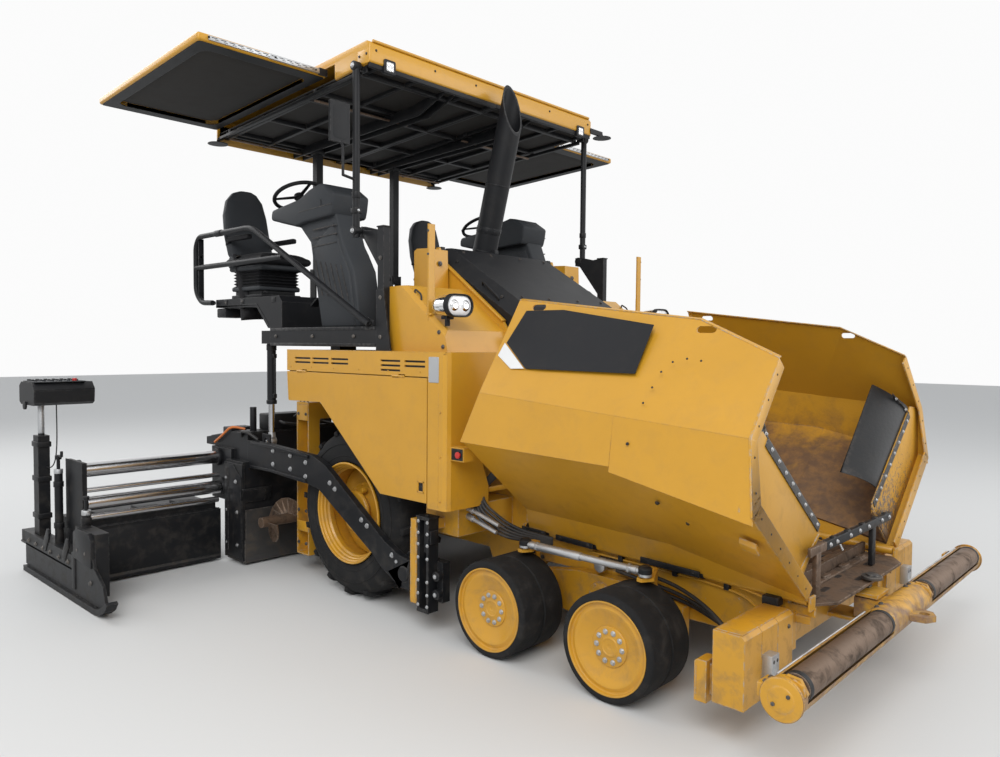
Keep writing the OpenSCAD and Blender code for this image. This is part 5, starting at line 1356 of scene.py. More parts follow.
def wingAwnings():
    # each side wing: a rounded yellow rim, a black frame round one soft grey inset, and a slotted silver rail
    top = canopy["top"]

    def under(x, drop=0.0):
        return top - awning["top"] - awning["deep"] - (awning["front"] - x) * awning["fall"] - drop
    front, rear, inner, outer = awning["front"], awning["rear"], awning["inner"], awning["outer"]
    shell = begin("awning_shell_right")
    plateY([(front, under(front)), (front, under(front) + awning["deep"]), (rear, under(rear) + awning["deep"]),
        (rear, under(rear))], (outer, inner))
    closeShape()
    clearSelection()
    shell.select_set(True)
    bpy.context.view_layer.objects.active = shell
    soften = shell.modifiers.new("soften", "BEVEL")
    soften.width = 0.016
    soften.segments = 4
    soften.limit_method = "ANGLE"
    bpy.ops.object.modifier_apply(modifier=soften.name)
    hollow = begin("awning_hollow_tool")
    (x1, x2), (y1, y2) = awning["insetX"], awning["insetY"]
    edge = roundedOutline((x2, y2), (x1, y1), 0.07, 8)
    loftRings([[(x, y, under(x) + lift) for x, y in edge] for lift in (-0.05, 0.034)])
    closeShape()
    punch(shell, hollow)
    pairPiece(shell, "canopy_wing_right", "yellow", replaces=("canopy_wing_right",), bevel=0.001, smooth=40)
    # black frame below the rim: an outer and an inner outline joined by a flat sheet
    frameSheet = begin("awning_frame_right")
    reach = 0.014
    outline = roundedOutline((rear + reach, outer + reach), (front - reach, inner - reach), 0.02, 8)
    inside = roundedOutline((x2, y2), (x1, y1), 0.07, 8)
    rings = []
    for points, lift in ((outline, 0.006), (outline, -0.0035), (inside, -0.0035), (inside, 0.026)):
        rings.append([(x, y, under(x) + lift) for x, y in points])
    loftRings(rings, (False, False))
    pairPiece(frameSheet, "canopy_wing_right", "black", smooth=50)
    inset = begin("awning_inset_right")
    rings = []
    for shrink, lift in ((-0.006, 0.03), (0.02, 0.02), (0.12, 0.016), (0.3, 0.022)):
        rings.append([(x, y, under(x) + lift) for x, y in roundedOutline((x2 + shrink, y2 + shrink),
            (x1 - shrink, y1 - shrink), 0.07, 8)])
    loftRings(rings)
    pairPiece(inset, "canopy_wing_right", "inset", smooth=60)
    # slotted rail in two stages along the front edge, its seats and the end stop
    y1, y2 = awning["railY"]
    high = top - awning["top"] - awning["deep"] / 2
    rail = begin("awning_rail_right")
    slab((front - 0.002, front + 0.009), (y1, -1.56), (high - 0.013, high + 0.013), 0.001)
    slab((front - 0.002, front + 0.013), (-1.64, y2), (high - 0.016, high + 0.016), 0.001)
    pairPiece(rail, "canopy_wing_right", "galvanised")
    # dark strips on the rail's face: painted shade for its slots
    slotShade = begin("awning_rail_slots_right")
    count = 13
    for index in range(count):
        y = y1 + 0.02 + index * (y2 - y1 - 0.04) / count
        slab((front + 0.008, front + (0.0098 if y < -1.66 else 0.0138)), (y, y + 0.036), (high + 0.003, high + 0.007))
        slab((front + 0.008, front + (0.0098 if y < -1.66 else 0.0138)), (y + 0.02, y + 0.046),
            (high - 0.006, high - 0.003))
    pairPiece(slotShade, "canopy_wing_right", "dark")
    stop = begin("awning_stop_right")
    slab((front - 0.002, front + 0.012), (-1.272, -1.206), (high - 0.024, high + 0.024), 0.002)
    for y in (y1, -1.6, -1.3):
        rod((front + 0.008, y, high), (front + 0.017, y, high), 0.006, 16)
    pairPiece(stop, "canopy_wing_right", "black")
    # brown slide rails between the roof's beams
    slides = begin("awning_slides_right")
    for x in (-0.372, -1.582):
        low = top - 0.215 - (-x - 0.33) * 0.05
        slab((x, x + 0.02), (-1.14, -0.3), (low - 0.034, low - 0.022), 0.001)
    pairPiece(slides, "canopy_roof", "worn")


def postParts():
    # plates and pins at the posts' ends, the mirror's clamp and face
    piece = begin("post_collars_right")
    for z in (2.489, 3.545):
        rod((0.22, -1.24, z), (0.22, -1.19, z), 0.03, 24)
    rod((0.22, -1.212, 2.7), (0.22, -1.212, 2.74), 0.029, 24)
    slab((0.195, 0.245), (-1.24, -1.184), (2.6, 2.64), 0.004)
    pairPiece(piece, "canopy_front_posts", "black", bevel=0.002)
    rows = [((0.22, -1.241, z), (0, -1, 0), 0.012) for z in (2.489, 3.545)]
    rows += [((0.246, -1.212, 2.62), (1, 0, 0), 0.007)]
    boltSet("post_bolts_right", "canopy_front_posts", "galvanised", rows)
    mirror = begin("mirror_face")
    plateX(roundedOutline((-1.406, 3.044), (-1.274, 3.28), 0.018), (0.203, 0.2055))
    finishPiece(mirror, "canopy_front_posts", "lamp")
    rim = begin("mirror_back")
    rings = []
    for x, shrink in ((0.2045, 0.001), (0.212, 0.0), (0.221, 0.006), (0.226, 0.024)):
        rings.append([(x, y, z) for y, z in roundedOutline((-1.414 + shrink, 3.036 + shrink),
            (-1.266 - shrink, 3.288 - shrink), 0.022)])
    loftRings(rings)
    finishPiece(rim, "canopy_front_posts", "black", smooth=50)
    # shallow disc mirrors on brackets below the roof's rear corners
    disc = begin("roof_mirror_right")
    x, y, z = -1.69, -1.182, 3.376
    slab((x - 0.01, x + 0.008), (-1.183, -1.165), (z + 0.006, z + 0.05), 0.002)
    rod((x, y, z + 0.03), (x, y, z + 0.004), 0.009, 14)
    lathe([(0.0, 0.01), (0.05, 0.008), (0.078, 0.001), (0.08, -0.004), (0.0, -0.006)], (x, y, z), 40, "Z")
    pairPiece(disc, "canopy_roof", "black", smooth=50)
    # one more at the left front corner
    corner = begin("roof_mirror_front")
    x, y, z = 0.322, 1.335, 3.57
    slab((x - 0.01, x + 0.008), (1.165, y), (z + 0.006, z + 0.05), 0.002)
    rod((x, y, z + 0.03), (x, y, z + 0.004), 0.009, 14)
    lathe([(0.0, 0.01), (0.05, 0.008), (0.078, 0.001), (0.08, -0.004), (0.0, -0.006)], (x, y, z), 40, "Z")
    finishPiece(corner, "canopy_roof", "black", smooth=50)
    # rear posts' plates
    rear = begin("rear_post_plates_right")
    for z in (2.364, 3.42):
        slab((-1.446, -1.354), (-0.462, -0.38), (z - 0.045, z + 0.02), 0.003)
    rod((-1.4, -0.478, 2.364), (-1.4, -0.362, 2.364), 0.018, 20)
    pairPiece(rear, "canopy_rear_posts", "black")


finishes["inset"] = makeFinish("grey_inset", (0.034, 0.032, 0.03), 0.7, edge=0.0, chips=0.0, dirt=0.5, bump=0.0012,
    bumpScale=30, dirtColour=(0.055, 0.05, 0.044), shine=0.2)
roofUnder()
roofLamps()
wingAwnings()
postParts()
print("canopy is dressed")

# operators' stations

station = {"seatY": 0.985, "wheelAt": (-0.8, -0.99, 2.87), "wheelTilt": -25}


def cushion(name, body, low, high, puff, channels=(), lean=0.0, pivot=None):
    # a crowned pad: a rounded box whose sides pull in between its corners, with sewn channels across it
    piece = begin(name)
    size = [b - a for a, b in zip(low, high)]
    middle = [(a + b) / 2 for a, b in zip(low, high)]
    bpy.ops.mesh.primitive_cube_add(size=1, location=middle, scale=size)
    bpy.ops.mesh.subdivide(number_cuts=23)
    mesh = piece.data
    shape = bmesh.from_edit_mesh(mesh)
    for vertex in shape.verts:
        u, v, w = ((vertex.co[i] - middle[i]) / (size[i] / 2) for i in range(3))
        corner = (max(abs(u), abs(v)) ** 6)
        edge = (1 - u ** 4) * (1 - v ** 4)
        crown = puff * max(0.0, edge) ** 0.6
        # rounded rims
        rim = 0.42 * (1 - (1 - min(1.0, corner)) ** 0.5)
        vertex.co.z += (1 if w > 0 else -0.35) * abs(w) * crown - w * rim * size[2] * 0.32
        waist = 0.018 * (1 - abs(w) ** 2)
        vertex.co.x += (1 if u > 0 else -1) * (abs(u) ** 8) * (waist - 0.014 * (1 - v * v)) - u * 0.01 * (abs(w) ** 6)
        vertex.co.y += (1 if v > 0 else -1) * (abs(v) ** 8) * (waist - 0.014 * (1 - u * u)) - v * 0.01 * (abs(w) ** 6)
        if w > 0.5:
            for axis, at, depth in channels:
                place = (u, v)[axis]
                vertex.co.z -= depth * math.exp(-((place - at) / 0.035) ** 2) * (1 - (u, v)[1 - axis] ** 8)
    bmesh.update_edit_mesh(mesh)
    if lean:
        bpy.ops.mesh.select_all(action="SELECT")
        bpy.ops.transform.rotate(value=lean, orient_axis="Y", center_override=pivot)
    return piece


def seatParts():
    y0 = -station["seatY"]
    # moulded shell of the seat's back, then its pads
    back = Vector((-0.242, 0, 0.97)).normalized()
    ahead = Vector((0.97, 0, 0.242)).normalized()
    foot = Vector((-1.475, y0, 2.4))

    def spot(along, out, y):
        return tuple(foot + back * along + ahead * out + Vector((0, y, 0)))
    shell = begin("seat_shell_right")
    rings = []
    for along, half, out in ((0.0, 0.17, 0.02), (0.08, 0.195, 0.0), (0.25, 0.198, -0.02), (0.42, 0.19, -0.015),
            (0.54, 0.16, 0.0), (0.6, 0.11, 0.01), (0.615, 0.06, 0.02)):
        ring = []
        for step in range(20):
            angle = math.tau * step / 20
            c, s = math.cos(angle), math.sin(angle)
            ring.append(spot(along, out - 0.03 + 0.046 * (abs(s) ** 0.6) * (1 if s > 0 else -1) *
                (1 if s > 0 else 1.1), half * (abs(c) ** 0.5) * (1 if c > 0 else -1)))
        rings.append(ring)
    loftRings(rings)
    slab((-1.5, -1.08), (y0 - 0.185, y0 + 0.185), (2.165, 2.2), 0.01)
    slab((-1.515, -1.02), (y0 - 0.2, y0 + 0.2), (2.322, 2.362), 0.015)
    # hinge covers at the sides
    for side in (-1, 1):
        rod((-1.475, y0 + side * 0.16, 2.395), (-1.475, y0 + side * 0.202, 2.395), 0.052, 28)
    pairPiece(shell, "seat_right", "grey", bevel=0.004, replaces=("seat_right",), smooth=50)
    bellows = begin("seat_bellows_right")
    profile = []
    for index in range(5):
        z = 2.2 + index * 0.025
        profile += [(0.0, z), (0.0, z + 0.0125)]
    rings = []
    for index in range(11):
        z = 2.2 + index * 0.0122
        wide = 0.0 if index % 2 else 0.016
        rings.append([(x, y, z) for x, y in roundedOutline((-1.48 - wide, y0 - 0.165 - wide),
            (-1.09 + wide, y0 + 0.165 + wide), 0.03)])
    loftRings(rings)
    pairPiece(bellows, "seat_right", "leather", smooth=20)
    base = begin("seat_base_right")
    slab((-1.52, -1.06), (y0 - 0.175, y0 + 0.175), (2.1064, 2.135), 0.006)
    slab((-1.5, -1.1), (y0 - 0.15, y0 + 0.15), (2.134, 2.168), 0.004)
    rod((-1.075, y0 - 0.14, 2.15), (-1.045, y0 - 0.14, 2.15), 0.01, 12)
    pairPiece(base, "seat_right", "black")
    pad = cushion("seat_pad_right", "seat_right", (-1.5, y0 - 0.205, 2.352), (-1.005, y0 + 0.205, 2.44), 0.026,
        ((1, -0.55, 0.007), (1, 0.55, 0.007), (0, 0.35, 0.006)))
    pairPiece(pad, "seat_right", "leather", smooth=70)
    rest = cushion("seat_back_pad_right", "seat_right", (-1.49, y0 - 0.195, 2.3), (-0.98, y0 + 0.195, 2.375), 0.03,
        ((1, -0.52, 0.007), (1, 0.52, 0.007), (0, -0.3, 0.006), (0, 0.35, 0.006)))
    bpy.ops.mesh.select_all(action="SELECT")
    bpy.ops.transform.rotate(value=math.radians(-76), orient_axis="Y", center_override=(-1.49, y0, 2.3))
    bpy.ops.transform.translate(value=(0.03, 0, 0.135))
    pairPiece(rest, "seat_right", "leather", smooth=70)
    # armrests on both sides and the belt's buckle
    arms = begin("seat_arms_right")
    for side in (-1, 1):
        y = y0 + (0.205 if side > 0 else -0.19)
        slab((-1.52, -1.19), (y - 0.026, y + 0.018), (2.565, 2.605), 0.012)
        plateY([(-1.56, 2.54), (-1.56, 2.6), (-1.505, 2.6), (-1.505, 2.565)], (y - 0.014, y + 0.01))
    pairPiece(arms, "seat_right", "leather")
    belt = begin("seat_belt_right")
    plate([(-1.43, y0 - 0.205, 2.4), (-1.38, y0 - 0.205, 2.44), (-1.33, y0 - 0.1, 2.468), (-1.37, y0 - 0.09, 2.462)],
        (0, 0, 0.003))
    slab((-1.45, -1.405), (y0 + 0.196, y0 + 0.208), (2.39, 2.47), 0.004)
    pairPiece(belt, "seat_right", "dark")
    button = begin("seat_buckle_right")
    slab((-1.44, -1.415), (y0 + 0.194, y0 + 0.2095), (2.46, 2.4735), 0.002)
    pairPiece(button, "seat_right", "red")


def consoleParts():
    # pedestal with a soft outline, its overhanging head, painted shade for its grooves, screen and levers
    body = begin("console_body_right")
    plateY([(-0.33, 1.869), (-0.352, 1.96), (-0.47, 2.48), (-0.6, 2.6), (-0.9, 2.668), (-0.6, 2.69), (-0.3, 2.7),
        (-0.16, 2.66), (-0.075, 2.44), (-0.03, 2.38), (0.05, 2.255), (0.09, 2.05), (0.118, 1.869)], (-1.108, -0.912))
    plateY([(-0.3, 1.869), (-0.42, 2.45), (-0.18, 2.6), (-0.1, 2.42), (0.01, 2.24), (0.08, 1.869)], (-1.12, -0.9))
    pairPiece(body, "chassis", "grey", bevel=0.016, segments=3, replaces=("consoles",))
    head = begin("console_head_right")
    plateY([(-0.94, 2.682), (-0.938, 2.728), (-0.925, 2.758), (-0.56, 2.8), (-0.44, 2.848), (-0.31, 2.878),
        (-0.25, 2.868), (-0.134, 2.792), (-0.15, 2.7), (-0.168, 2.642), (-0.5, 2.622), (-0.605, 2.604)],
        (-1.146, -0.834))
    slab((-0.3, -0.255), (-1.146, -1.146 + 0.05), (2.7, 2.78))
    pairPiece(head, "chassis", "grey", bevel=0.018, segments=3)
    # dark strips down and across the pedestal's side, painted shade for its grooves, and a dark seam round the head
    grooveShadeAndSeam = begin("console_grooves_right")
    for index in range(6):
        x, z = -0.395 + index * 0.062, 2.345 - index * 0.01
        plateY([(x, z), (x + 0.012, z), (x + 0.105, z - 0.25), (x + 0.093, z - 0.25)], (-1.1225, -1.118))
    plateY([(-0.56, 2.7), (-0.56, 2.706), (-0.15, 2.722), (-0.15, 2.716)], (-1.1475, -1.144))
    for z in (2.56, 2.5, 2.44):
        plateY([(-0.42, z), (-0.42, z + 0.008), (-0.13, z + 0.02), (-0.13, z + 0.012)], (-1.1225, -1.118))
    pairPiece(grooveShadeAndSeam, "chassis", "dark")
    screen = begin("console_screen_right")
    plate([(-0.545, -1.1, 2.808), (-0.425, -1.1, 2.86), (-0.425, -0.88, 2.86), (-0.545, -0.88, 2.808)],
        (-0.004, 0, 0.008))
    for index in range(4):
        rod((-0.64 - 0.055 * index, -1.08, 2.787 - 0.006 * index),
            (-0.64 - 0.055 * index, -1.08, 2.8 - 0.006 * index), 0.013, 16)
    slab((-0.72, -0.6), (-1.04, -0.9), (2.778, 2.8), 0.004)
    pairPiece(screen, "chassis", "film")
    knobs = begin("console_knobs_right")
    rod((-0.7, -0.87, 2.78), (-0.7, -0.87, 2.806), 0.016, 20)
    pairPiece(knobs, "chassis", "red", bevel=0.001)
    lever = begin("console_lever_right")
    rod((-0.5, -0.862, 2.8), (-0.51, -0.862, 2.852), 0.008, 12)
    bpy.ops.mesh.primitive_uv_sphere_add(segments=20, ring_count=12, radius=0.02, location=(-0.511, -0.862, 2.862))
    pairPiece(lever, "chassis", "dark")
    # steering wheel with three spokes, hub and spinner knob
    wheel = begin("steering_wheel_right")
    at = Vector(station["wheelAt"])
    tilt = math.radians(station["wheelTilt"])
    axis = Vector((math.sin(tilt), 0, math.cos(tilt)))
    bpy.ops.mesh.primitive_torus_add(location=at, rotation=(0, tilt, 0), major_radius=0.184, minor_radius=0.0145,
        major_segments=56, minor_segments=14)
    flat = Vector((math.cos(tilt), 0, -math.sin(tilt)))
    for turn in (0, 120, 240):
        way = flat * math.cos(math.radians(turn)) + Vector((0, 1, 0)) * math.sin(math.radians(turn))
        across = axis.cross(way)
        a, b = at + way * 0.03 - axis * 0.01, at + way * 0.178
        plate([tuple(a + across * 0.016), tuple(b + across * 0.011), tuple(b - across * 0.011),
            tuple(a - across * 0.016)], tuple(axis * 0.008))
    rod(at - axis * 0.12, at - axis * 0.01, 0.026, 20, 0.03)
    rod(at - axis * 0.018, at + axis * 0.014, 0.04, 28, 0.034)
    pairPiece(wheel, "chassis", "leather", bevel=0.002)
    spinner = begin("steering_knob_right")
    way = flat * math.cos(math.radians(150)) + Vector((0, 1, 0)) * math.sin(math.radians(150))
    knobAt = at + way * 0.184
    rod(knobAt + axis * 0.01, knobAt + axis * 0.03, 0.01, 14)
    bpy.ops.mesh.primitive_uv_sphere_add(segments=20, ring_count=12, radius=0.0165, location=knobAt + axis * 0.038)
    pairPiece(spinner, "chassis", "dark")
    pedals = begin("pedals_right")
    for y in (-1.05, -0.96):
        plate([(-0.56, y, 2.035), (-0.48, y, 2.09), (-0.48, y + 0.06, 2.09), (-0.56, y + 0.06, 2.035)],
            (0.006, 0, -0.01))
        rod((-0.47, y + 0.03, 2.085), (-0.36, y + 0.03, 2.06), 0.008, 10)
    pairPiece(pedals, "chassis", "black")


def railParts():
    y = -1.23
    pipeSet("rail_right", "chassis", "black", [[(-1.7, y, 2.08), (-1.895, y, 2.087), (-1.99, y, 2.18),
        (-1.99, y, 2.56), (-1.93, y, 2.636), (-1.08, y, 2.636), (0.38, y, 1.882)],
        [(-1.99, y, 2.38), (-0.64, y, 2.38)]], 0.0215, bend=0.09, sides=16)
    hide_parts("rails")
    lower = begin("rail_feet_right")
    for x, z in ((-1.72, 2.081), (0.37, 1.889)):
        rod((x, -1.2003, z), (x, y + 0.004, z), 0.016, 16)
    rod((-1.64, y, 2.636), (-1.54, y, 2.636), 0.026, 20)
    plateY([(0.33, 1.87), (0.33, 1.93), (0.395, 1.905), (0.395, 1.87)], (-1.206, -1.2005))
    pairPiece(lower, "chassis", "black", bevel=0.0015)
    # upright flat bar with a knob behind the seat
    bar = begin("rail_upright_right")
    slab((-1.94, -1.93), (-1.236, -1.19), (2.1, 2.62), 0.001)
    rod((-1.9605, -1.215, 2.47), (-1.93, -1.215, 2.47), 0.01, 12)
    rod((-1.975, -1.215, 2.47), (-1.9605, -1.215, 2.47), 0.022, 20)
    pairPiece(bar, "chassis", "black")


def deckParts():
    # folded edges, chequer strips, brackets and fixings about the platform
    edge = begin("deck_edges_right")
    slab((-0.862, 0.412), (-1.2025, -1.1995), (1.738, 1.758), 0.001)
    slab((-0.862, 0.412), (-1.2025, -1.1995), (1.846, 1.868), 0.001)
    plateY([(-1.7, 2.044), (-1.7, 2.056), (-1.062, 2.046), (-0.89, 1.888), (-0.88, 1.894), (-1.055, 2.06)],
        (-1.2025, -1.1995))
    for x in (-1.56, -1.3, -0.84):
        slab((x, x + 0.05), (-1.2035, -1.2), (2.06, 2.098), 0.002)
    slab((-1.7, -1.56), (-1.196, -1.02), (1.96, 2.034), 0.01)
    pairPiece(edge, "chassis", "black")
    strips = begin("deck_strips_right")
    for index in range(18):
        x = -0.66 + index * 0.056
        slab((x, x + 0.026), (-0.88, -0.7), (1.8685, 1.8715))
        slab((x + 0.012, x + 0.038), (-0.68, -0.48), (1.8685, 1.8715))
    pairPiece(strips, "chassis", "steelDark")
    rows = [((x, -1.203, 1.805), (0, -1, 0), 0.01) for x in (-0.78, -0.3, 0.18)]
    rows += [((0.46, -1.2015, z), (0, -1, 0), 0.01) for z in (1.8, 2.05, 2.3)]
    rows += [((x, -1.203, 2.078), (0, -1, 0), 0.007) for x in (-1.535, -1.275)]
    boltSet("deck_bolts_right", "chassis", "steelDark", rows)
    # gusset plates and pins about the front upright
    gusset = begin("upright_gussets_right")
    plateY([(0.24, 2.46), (0.24, 2.5), (0.43, 2.48), (0.43, 2.23)], (-1.1685, -1.1645))
    slab((0.424, 0.496), (-1.206, -1.144), (2.494, 2.503), 0.002)
    rod((0.22, -1.168, 2.489), (0.22, -1.148, 2.489), 0.034, 24)
    pairPiece(gusset, "chassis", "black", bevel=0.0015)


seatParts()
consoleParts()
railParts()
deckParts()
print("operators' stations are dressed")

# tow gear, uprights and lift cylinders

tow = {"armIn": 1.136, "armOut": 1.181, "pinX": 0.68, "pinZ": 0.32}


def towParts():
    inner, outer = tow["armIn"], tow["armOut"]
    # silver bolts in pairs along the arm, its pin's cap and the doubling plates
    rows = []
    for x, z in ((0.61, 0.385), (0.56, 0.415), (0.3, 0.56), (0.24, 0.59), (-0.06, 0.755), (-0.12, 0.79), (-0.42, 0.9),
            (-0.42, 0.8), (-0.62, 0.93), (-0.62, 0.83), (-0.86, 0.94), (-0.86, 0.84)):
        rows.append(((x, -outer - 0.0005, z), (0, -1, 0), 0.013))
    boltSet("arm_bolts_right", "screed", "galvanised", rows)
    plates = begin("arm_plates_right")
    lathe([(0.0, 0.0), (0.044, 0.0), (0.05, 0.006), (0.05, 0.016), (0.0, 0.016)],
        (tow["pinX"], -outer - 0.016, tow["pinZ"]), 36)
    plateY([(0.735, 0.225), (0.735, 0.415), (0.64, 0.425), (0.56, 0.458), (0.54, 0.3), (0.64, 0.225)],
        (-outer - 0.006, -outer + 0.001))
    plateY([(-0.38, 0.955), (-0.9, 0.982), (-1.18, 0.986), (-1.18, 0.965), (-0.9, 0.96), (-0.385, 0.93)],
        (-outer - 0.012, -outer + 0.001))
    plateY([(-0.41, 0.752), (-0.9, 0.778), (-1.18, 0.776), (-1.18, 0.796), (-0.9, 0.8), (-0.415, 0.778)],
        (-outer - 0.012, -outer + 0.001))
    pairPiece(plates, "screed", "black", bevel=0.002)
    # guide track: bolts down its flanges, rollers with silver centres
    rows = []
    for z in (0.18, 0.25, 0.33, 0.47, 0.55, 0.62, 0.69):
        rows += [((0.859, -1.2225, z), (0, -1, 0), 0.008), ((0.941, -1.2225, z), (0, -1, 0), 0.008)]
    rows += [((0.8485, -1.175, z), (-1, 0, 0), 0.008) for z in (0.22, 0.4, 0.6)]
    boltSet("track_bolts_right", "chassis", "galvanised", rows)
    lips = begin("track_lips_right")
    slab((0.846, 0.954), (-1.2235, -1.2195), (0.7, 0.714), 0.001)
    slab((0.846, 0.954), (-1.2235, -1.2195), (0.138, 0.152), 0.001)
    slab((0.952, 0.962), (-1.215, -1.15), (0.56, 0.64), 0.002)
    slab((0.84, 0.96), (-1.226, -1.14), (0.712, 0.722), 0.002)
    pairPiece(lips, "chassis", "black")
    rollers = begin("point_rollers_right")
    for z in (0.26, 0.37):
        lathe([(0.0, -0.004), (0.012, -0.004), (0.014, 0.0), (0.0285, 0.002), (0.0295, 0.008), (0.0295, 0.034),
            (0.0285, 0.04), (0.0, 0.04)], (0.99, -1.2005, z), 32)
    pairPiece(rollers, "tow_points", "black")
    hubs = begin("point_roller_hubs_right")
    for z in (0.26, 0.37):
        rod((0.99, -1.2035, z), (0.99, -1.2085, z), 0.013, 20)
        rod((0.99, -1.208, z), (0.99, -1.211, z), 0.009, 6)
    pairPiece(hubs, "tow_points", "galvanised")
    # levelling cylinder inside the track, hung from its head
    ram = begin("level_ram_right")
    rod((0.9, -1.185, 0.705), (0.9, -1.185, 0.5), 0.021, 20)
    rod((0.9, -1.185, 0.706), (0.9, -1.185, 0.728), 0.014, 14)
    pairPiece(ram, "chassis", "black", bevel=0.0015)
    # yellow plate before the track and the two chrome rods above it
    plate2 = begin("track_plate_right")
    slab((0.764, 0.77), (-1.206, -1.19), (0.18, 0.635), 0.002)
    slab((0.82, 0.826), (-1.206, -1.19), (0.18, 0.635), 0.002)
    pairPiece(plate2, "chassis", "chipped")
    rods = begin("track_rods_right")
    rod((1.062, -1.0, 0.765), (1.32, -1.0, 0.7), 0.012, 18)
    rod((1.062, -1.0, 0.715), (1.3, -1.0, 0.655), 0.012, 18)
    rod((1.04, -1.0, 0.771), (1.11, -1.0, 0.753), 0.019, 18)
    rod((1.04, -1.0, 0.721), (1.11, -1.0, 0.703), 0.019, 18)
    pairPiece(rods, "chassis", "galvanised")
    # hose bundle and bracket frame behind the track
    hoses = []
    for index in range(5):
        d = index * 0.021
        hoses.append([(1.108, -0.76 - d * 0.6, 1.02 - d), (1.08, -0.9 - d, 0.9 - d), (1.15, -0.96 - d * 0.5, 0.8 - d),
            (1.3, -0.86 - d, 0.66 - d * 0.5), (1.48, -0.7, 0.6 - d * 0.4)])
    pipeSet("side_hoses_right", "chassis", "hose", hoses, 0.0095, bend=0.16, sides=12)
    bracket = begin("hose_bracket_right")
    slab((1.075, 1.115), (-1.04, -1.0), (0.79, 1.12), 0.003)
    slab((0.98, 1.115), (-1.036, -1.004), (1.08, 1.115), 0.003)
    slab((1.085, 1.105), (-1.0, -0.64), (0.85, 0.88), 0.003)
    pairPiece(bracket, "chassis", "yellow", bevel=0.0015)


def uprightParts():
    # slots' lips, pads and red levers on the rear uprights, and the cylinders' hardware
    rows = [((x, -1.002, z), (0, -1, 0), 0.01) for x, z in ((-0.79, 0.23), (-0.69, 0.23), (-0.79, 0.48),
        (-0.69, 0.48), (-0.79, 1.22), (-0.69, 1.22))]
    boltSet("upright_bolts_right", "chassis", "steelDark", rows)
    pad = begin("upright_pads_right")
    slab((-0.812, -0.668), (-1.0035, -0.9995), (0.32, 0.4), 0.0015)
    slab((-0.812, -0.668), (-1.0035, -0.9995), (1.17, 1.29), 0.0015)
    pairPiece(pad, "chassis", "yellow")
    levers = begin("stop_levers_right")
    for index in range(3):
        x = -0.79 + index * 0.05
        rod((x, -0.985, 1.3), (x + 0.01, -1.0, 1.42), 0.006, 12)
    pairPiece(levers, "chassis", "dark")
    grips = begin("stop_lever_grips_right")
    for index in range(3):
        x = -0.78 + index * 0.05
        rod((x, -1.0, 1.415), (x + 0.004, -1.006, 1.48), 0.011, 14, 0.009)
    pairPiece(grips, "chassis", "red")
    glands = begin("lift_glands_right")
    lathe([(0.0245, 0.0), (0.038, 0.002), (0.04, 0.01), (0.04, 0.03), (0.034, 0.034), (0.0245, 0.036)],
        (-1.04, -1.085, 1.28), 32, "Z")
    rod((-1.04, -1.085, 1.7), (-1.04, -1.085, 1.745), 0.0385, 28)
    slab((-1.012, -0.985), (-1.1, -1.07), (1.33, 1.362), 0.003)
    slab((-1.012, -0.985), (-1.1, -1.07), (1.64, 1.672), 0.003)
    rod((-0.998, -1.085, 1.345), (-0.998, -1.085, 1.66), 0.0065, 12)
    pairPiece(glands, "lift_barrels", "black", bevel=0.001)
    eye = begin("lift_eyes_right")
    lathe([(0.014, 0.0), (0.036, 0.0), (0.038, 0.003), (0.038, 0.047), (0.036, 0.05), (0.014, 0.05)],
        (-1.04, -1.11, 0.99), 32)
    rod((-1.04, -1.085, 1.02), (-1.04, -1.085, 1.06), 0.03, 20, 0.026)
    pairPiece(eye, "lift_rods", "galvanised")


towParts()
uprightParts()

# screed, extensions and end gates

screed = {"front": -1.215, "back": -1.5, "half": 1.25, "tubeHigh": (-1.64, 0.82), "tubeLow": (-1.56, 0.59),
    "extOut": 2.33, "side": 2.44}


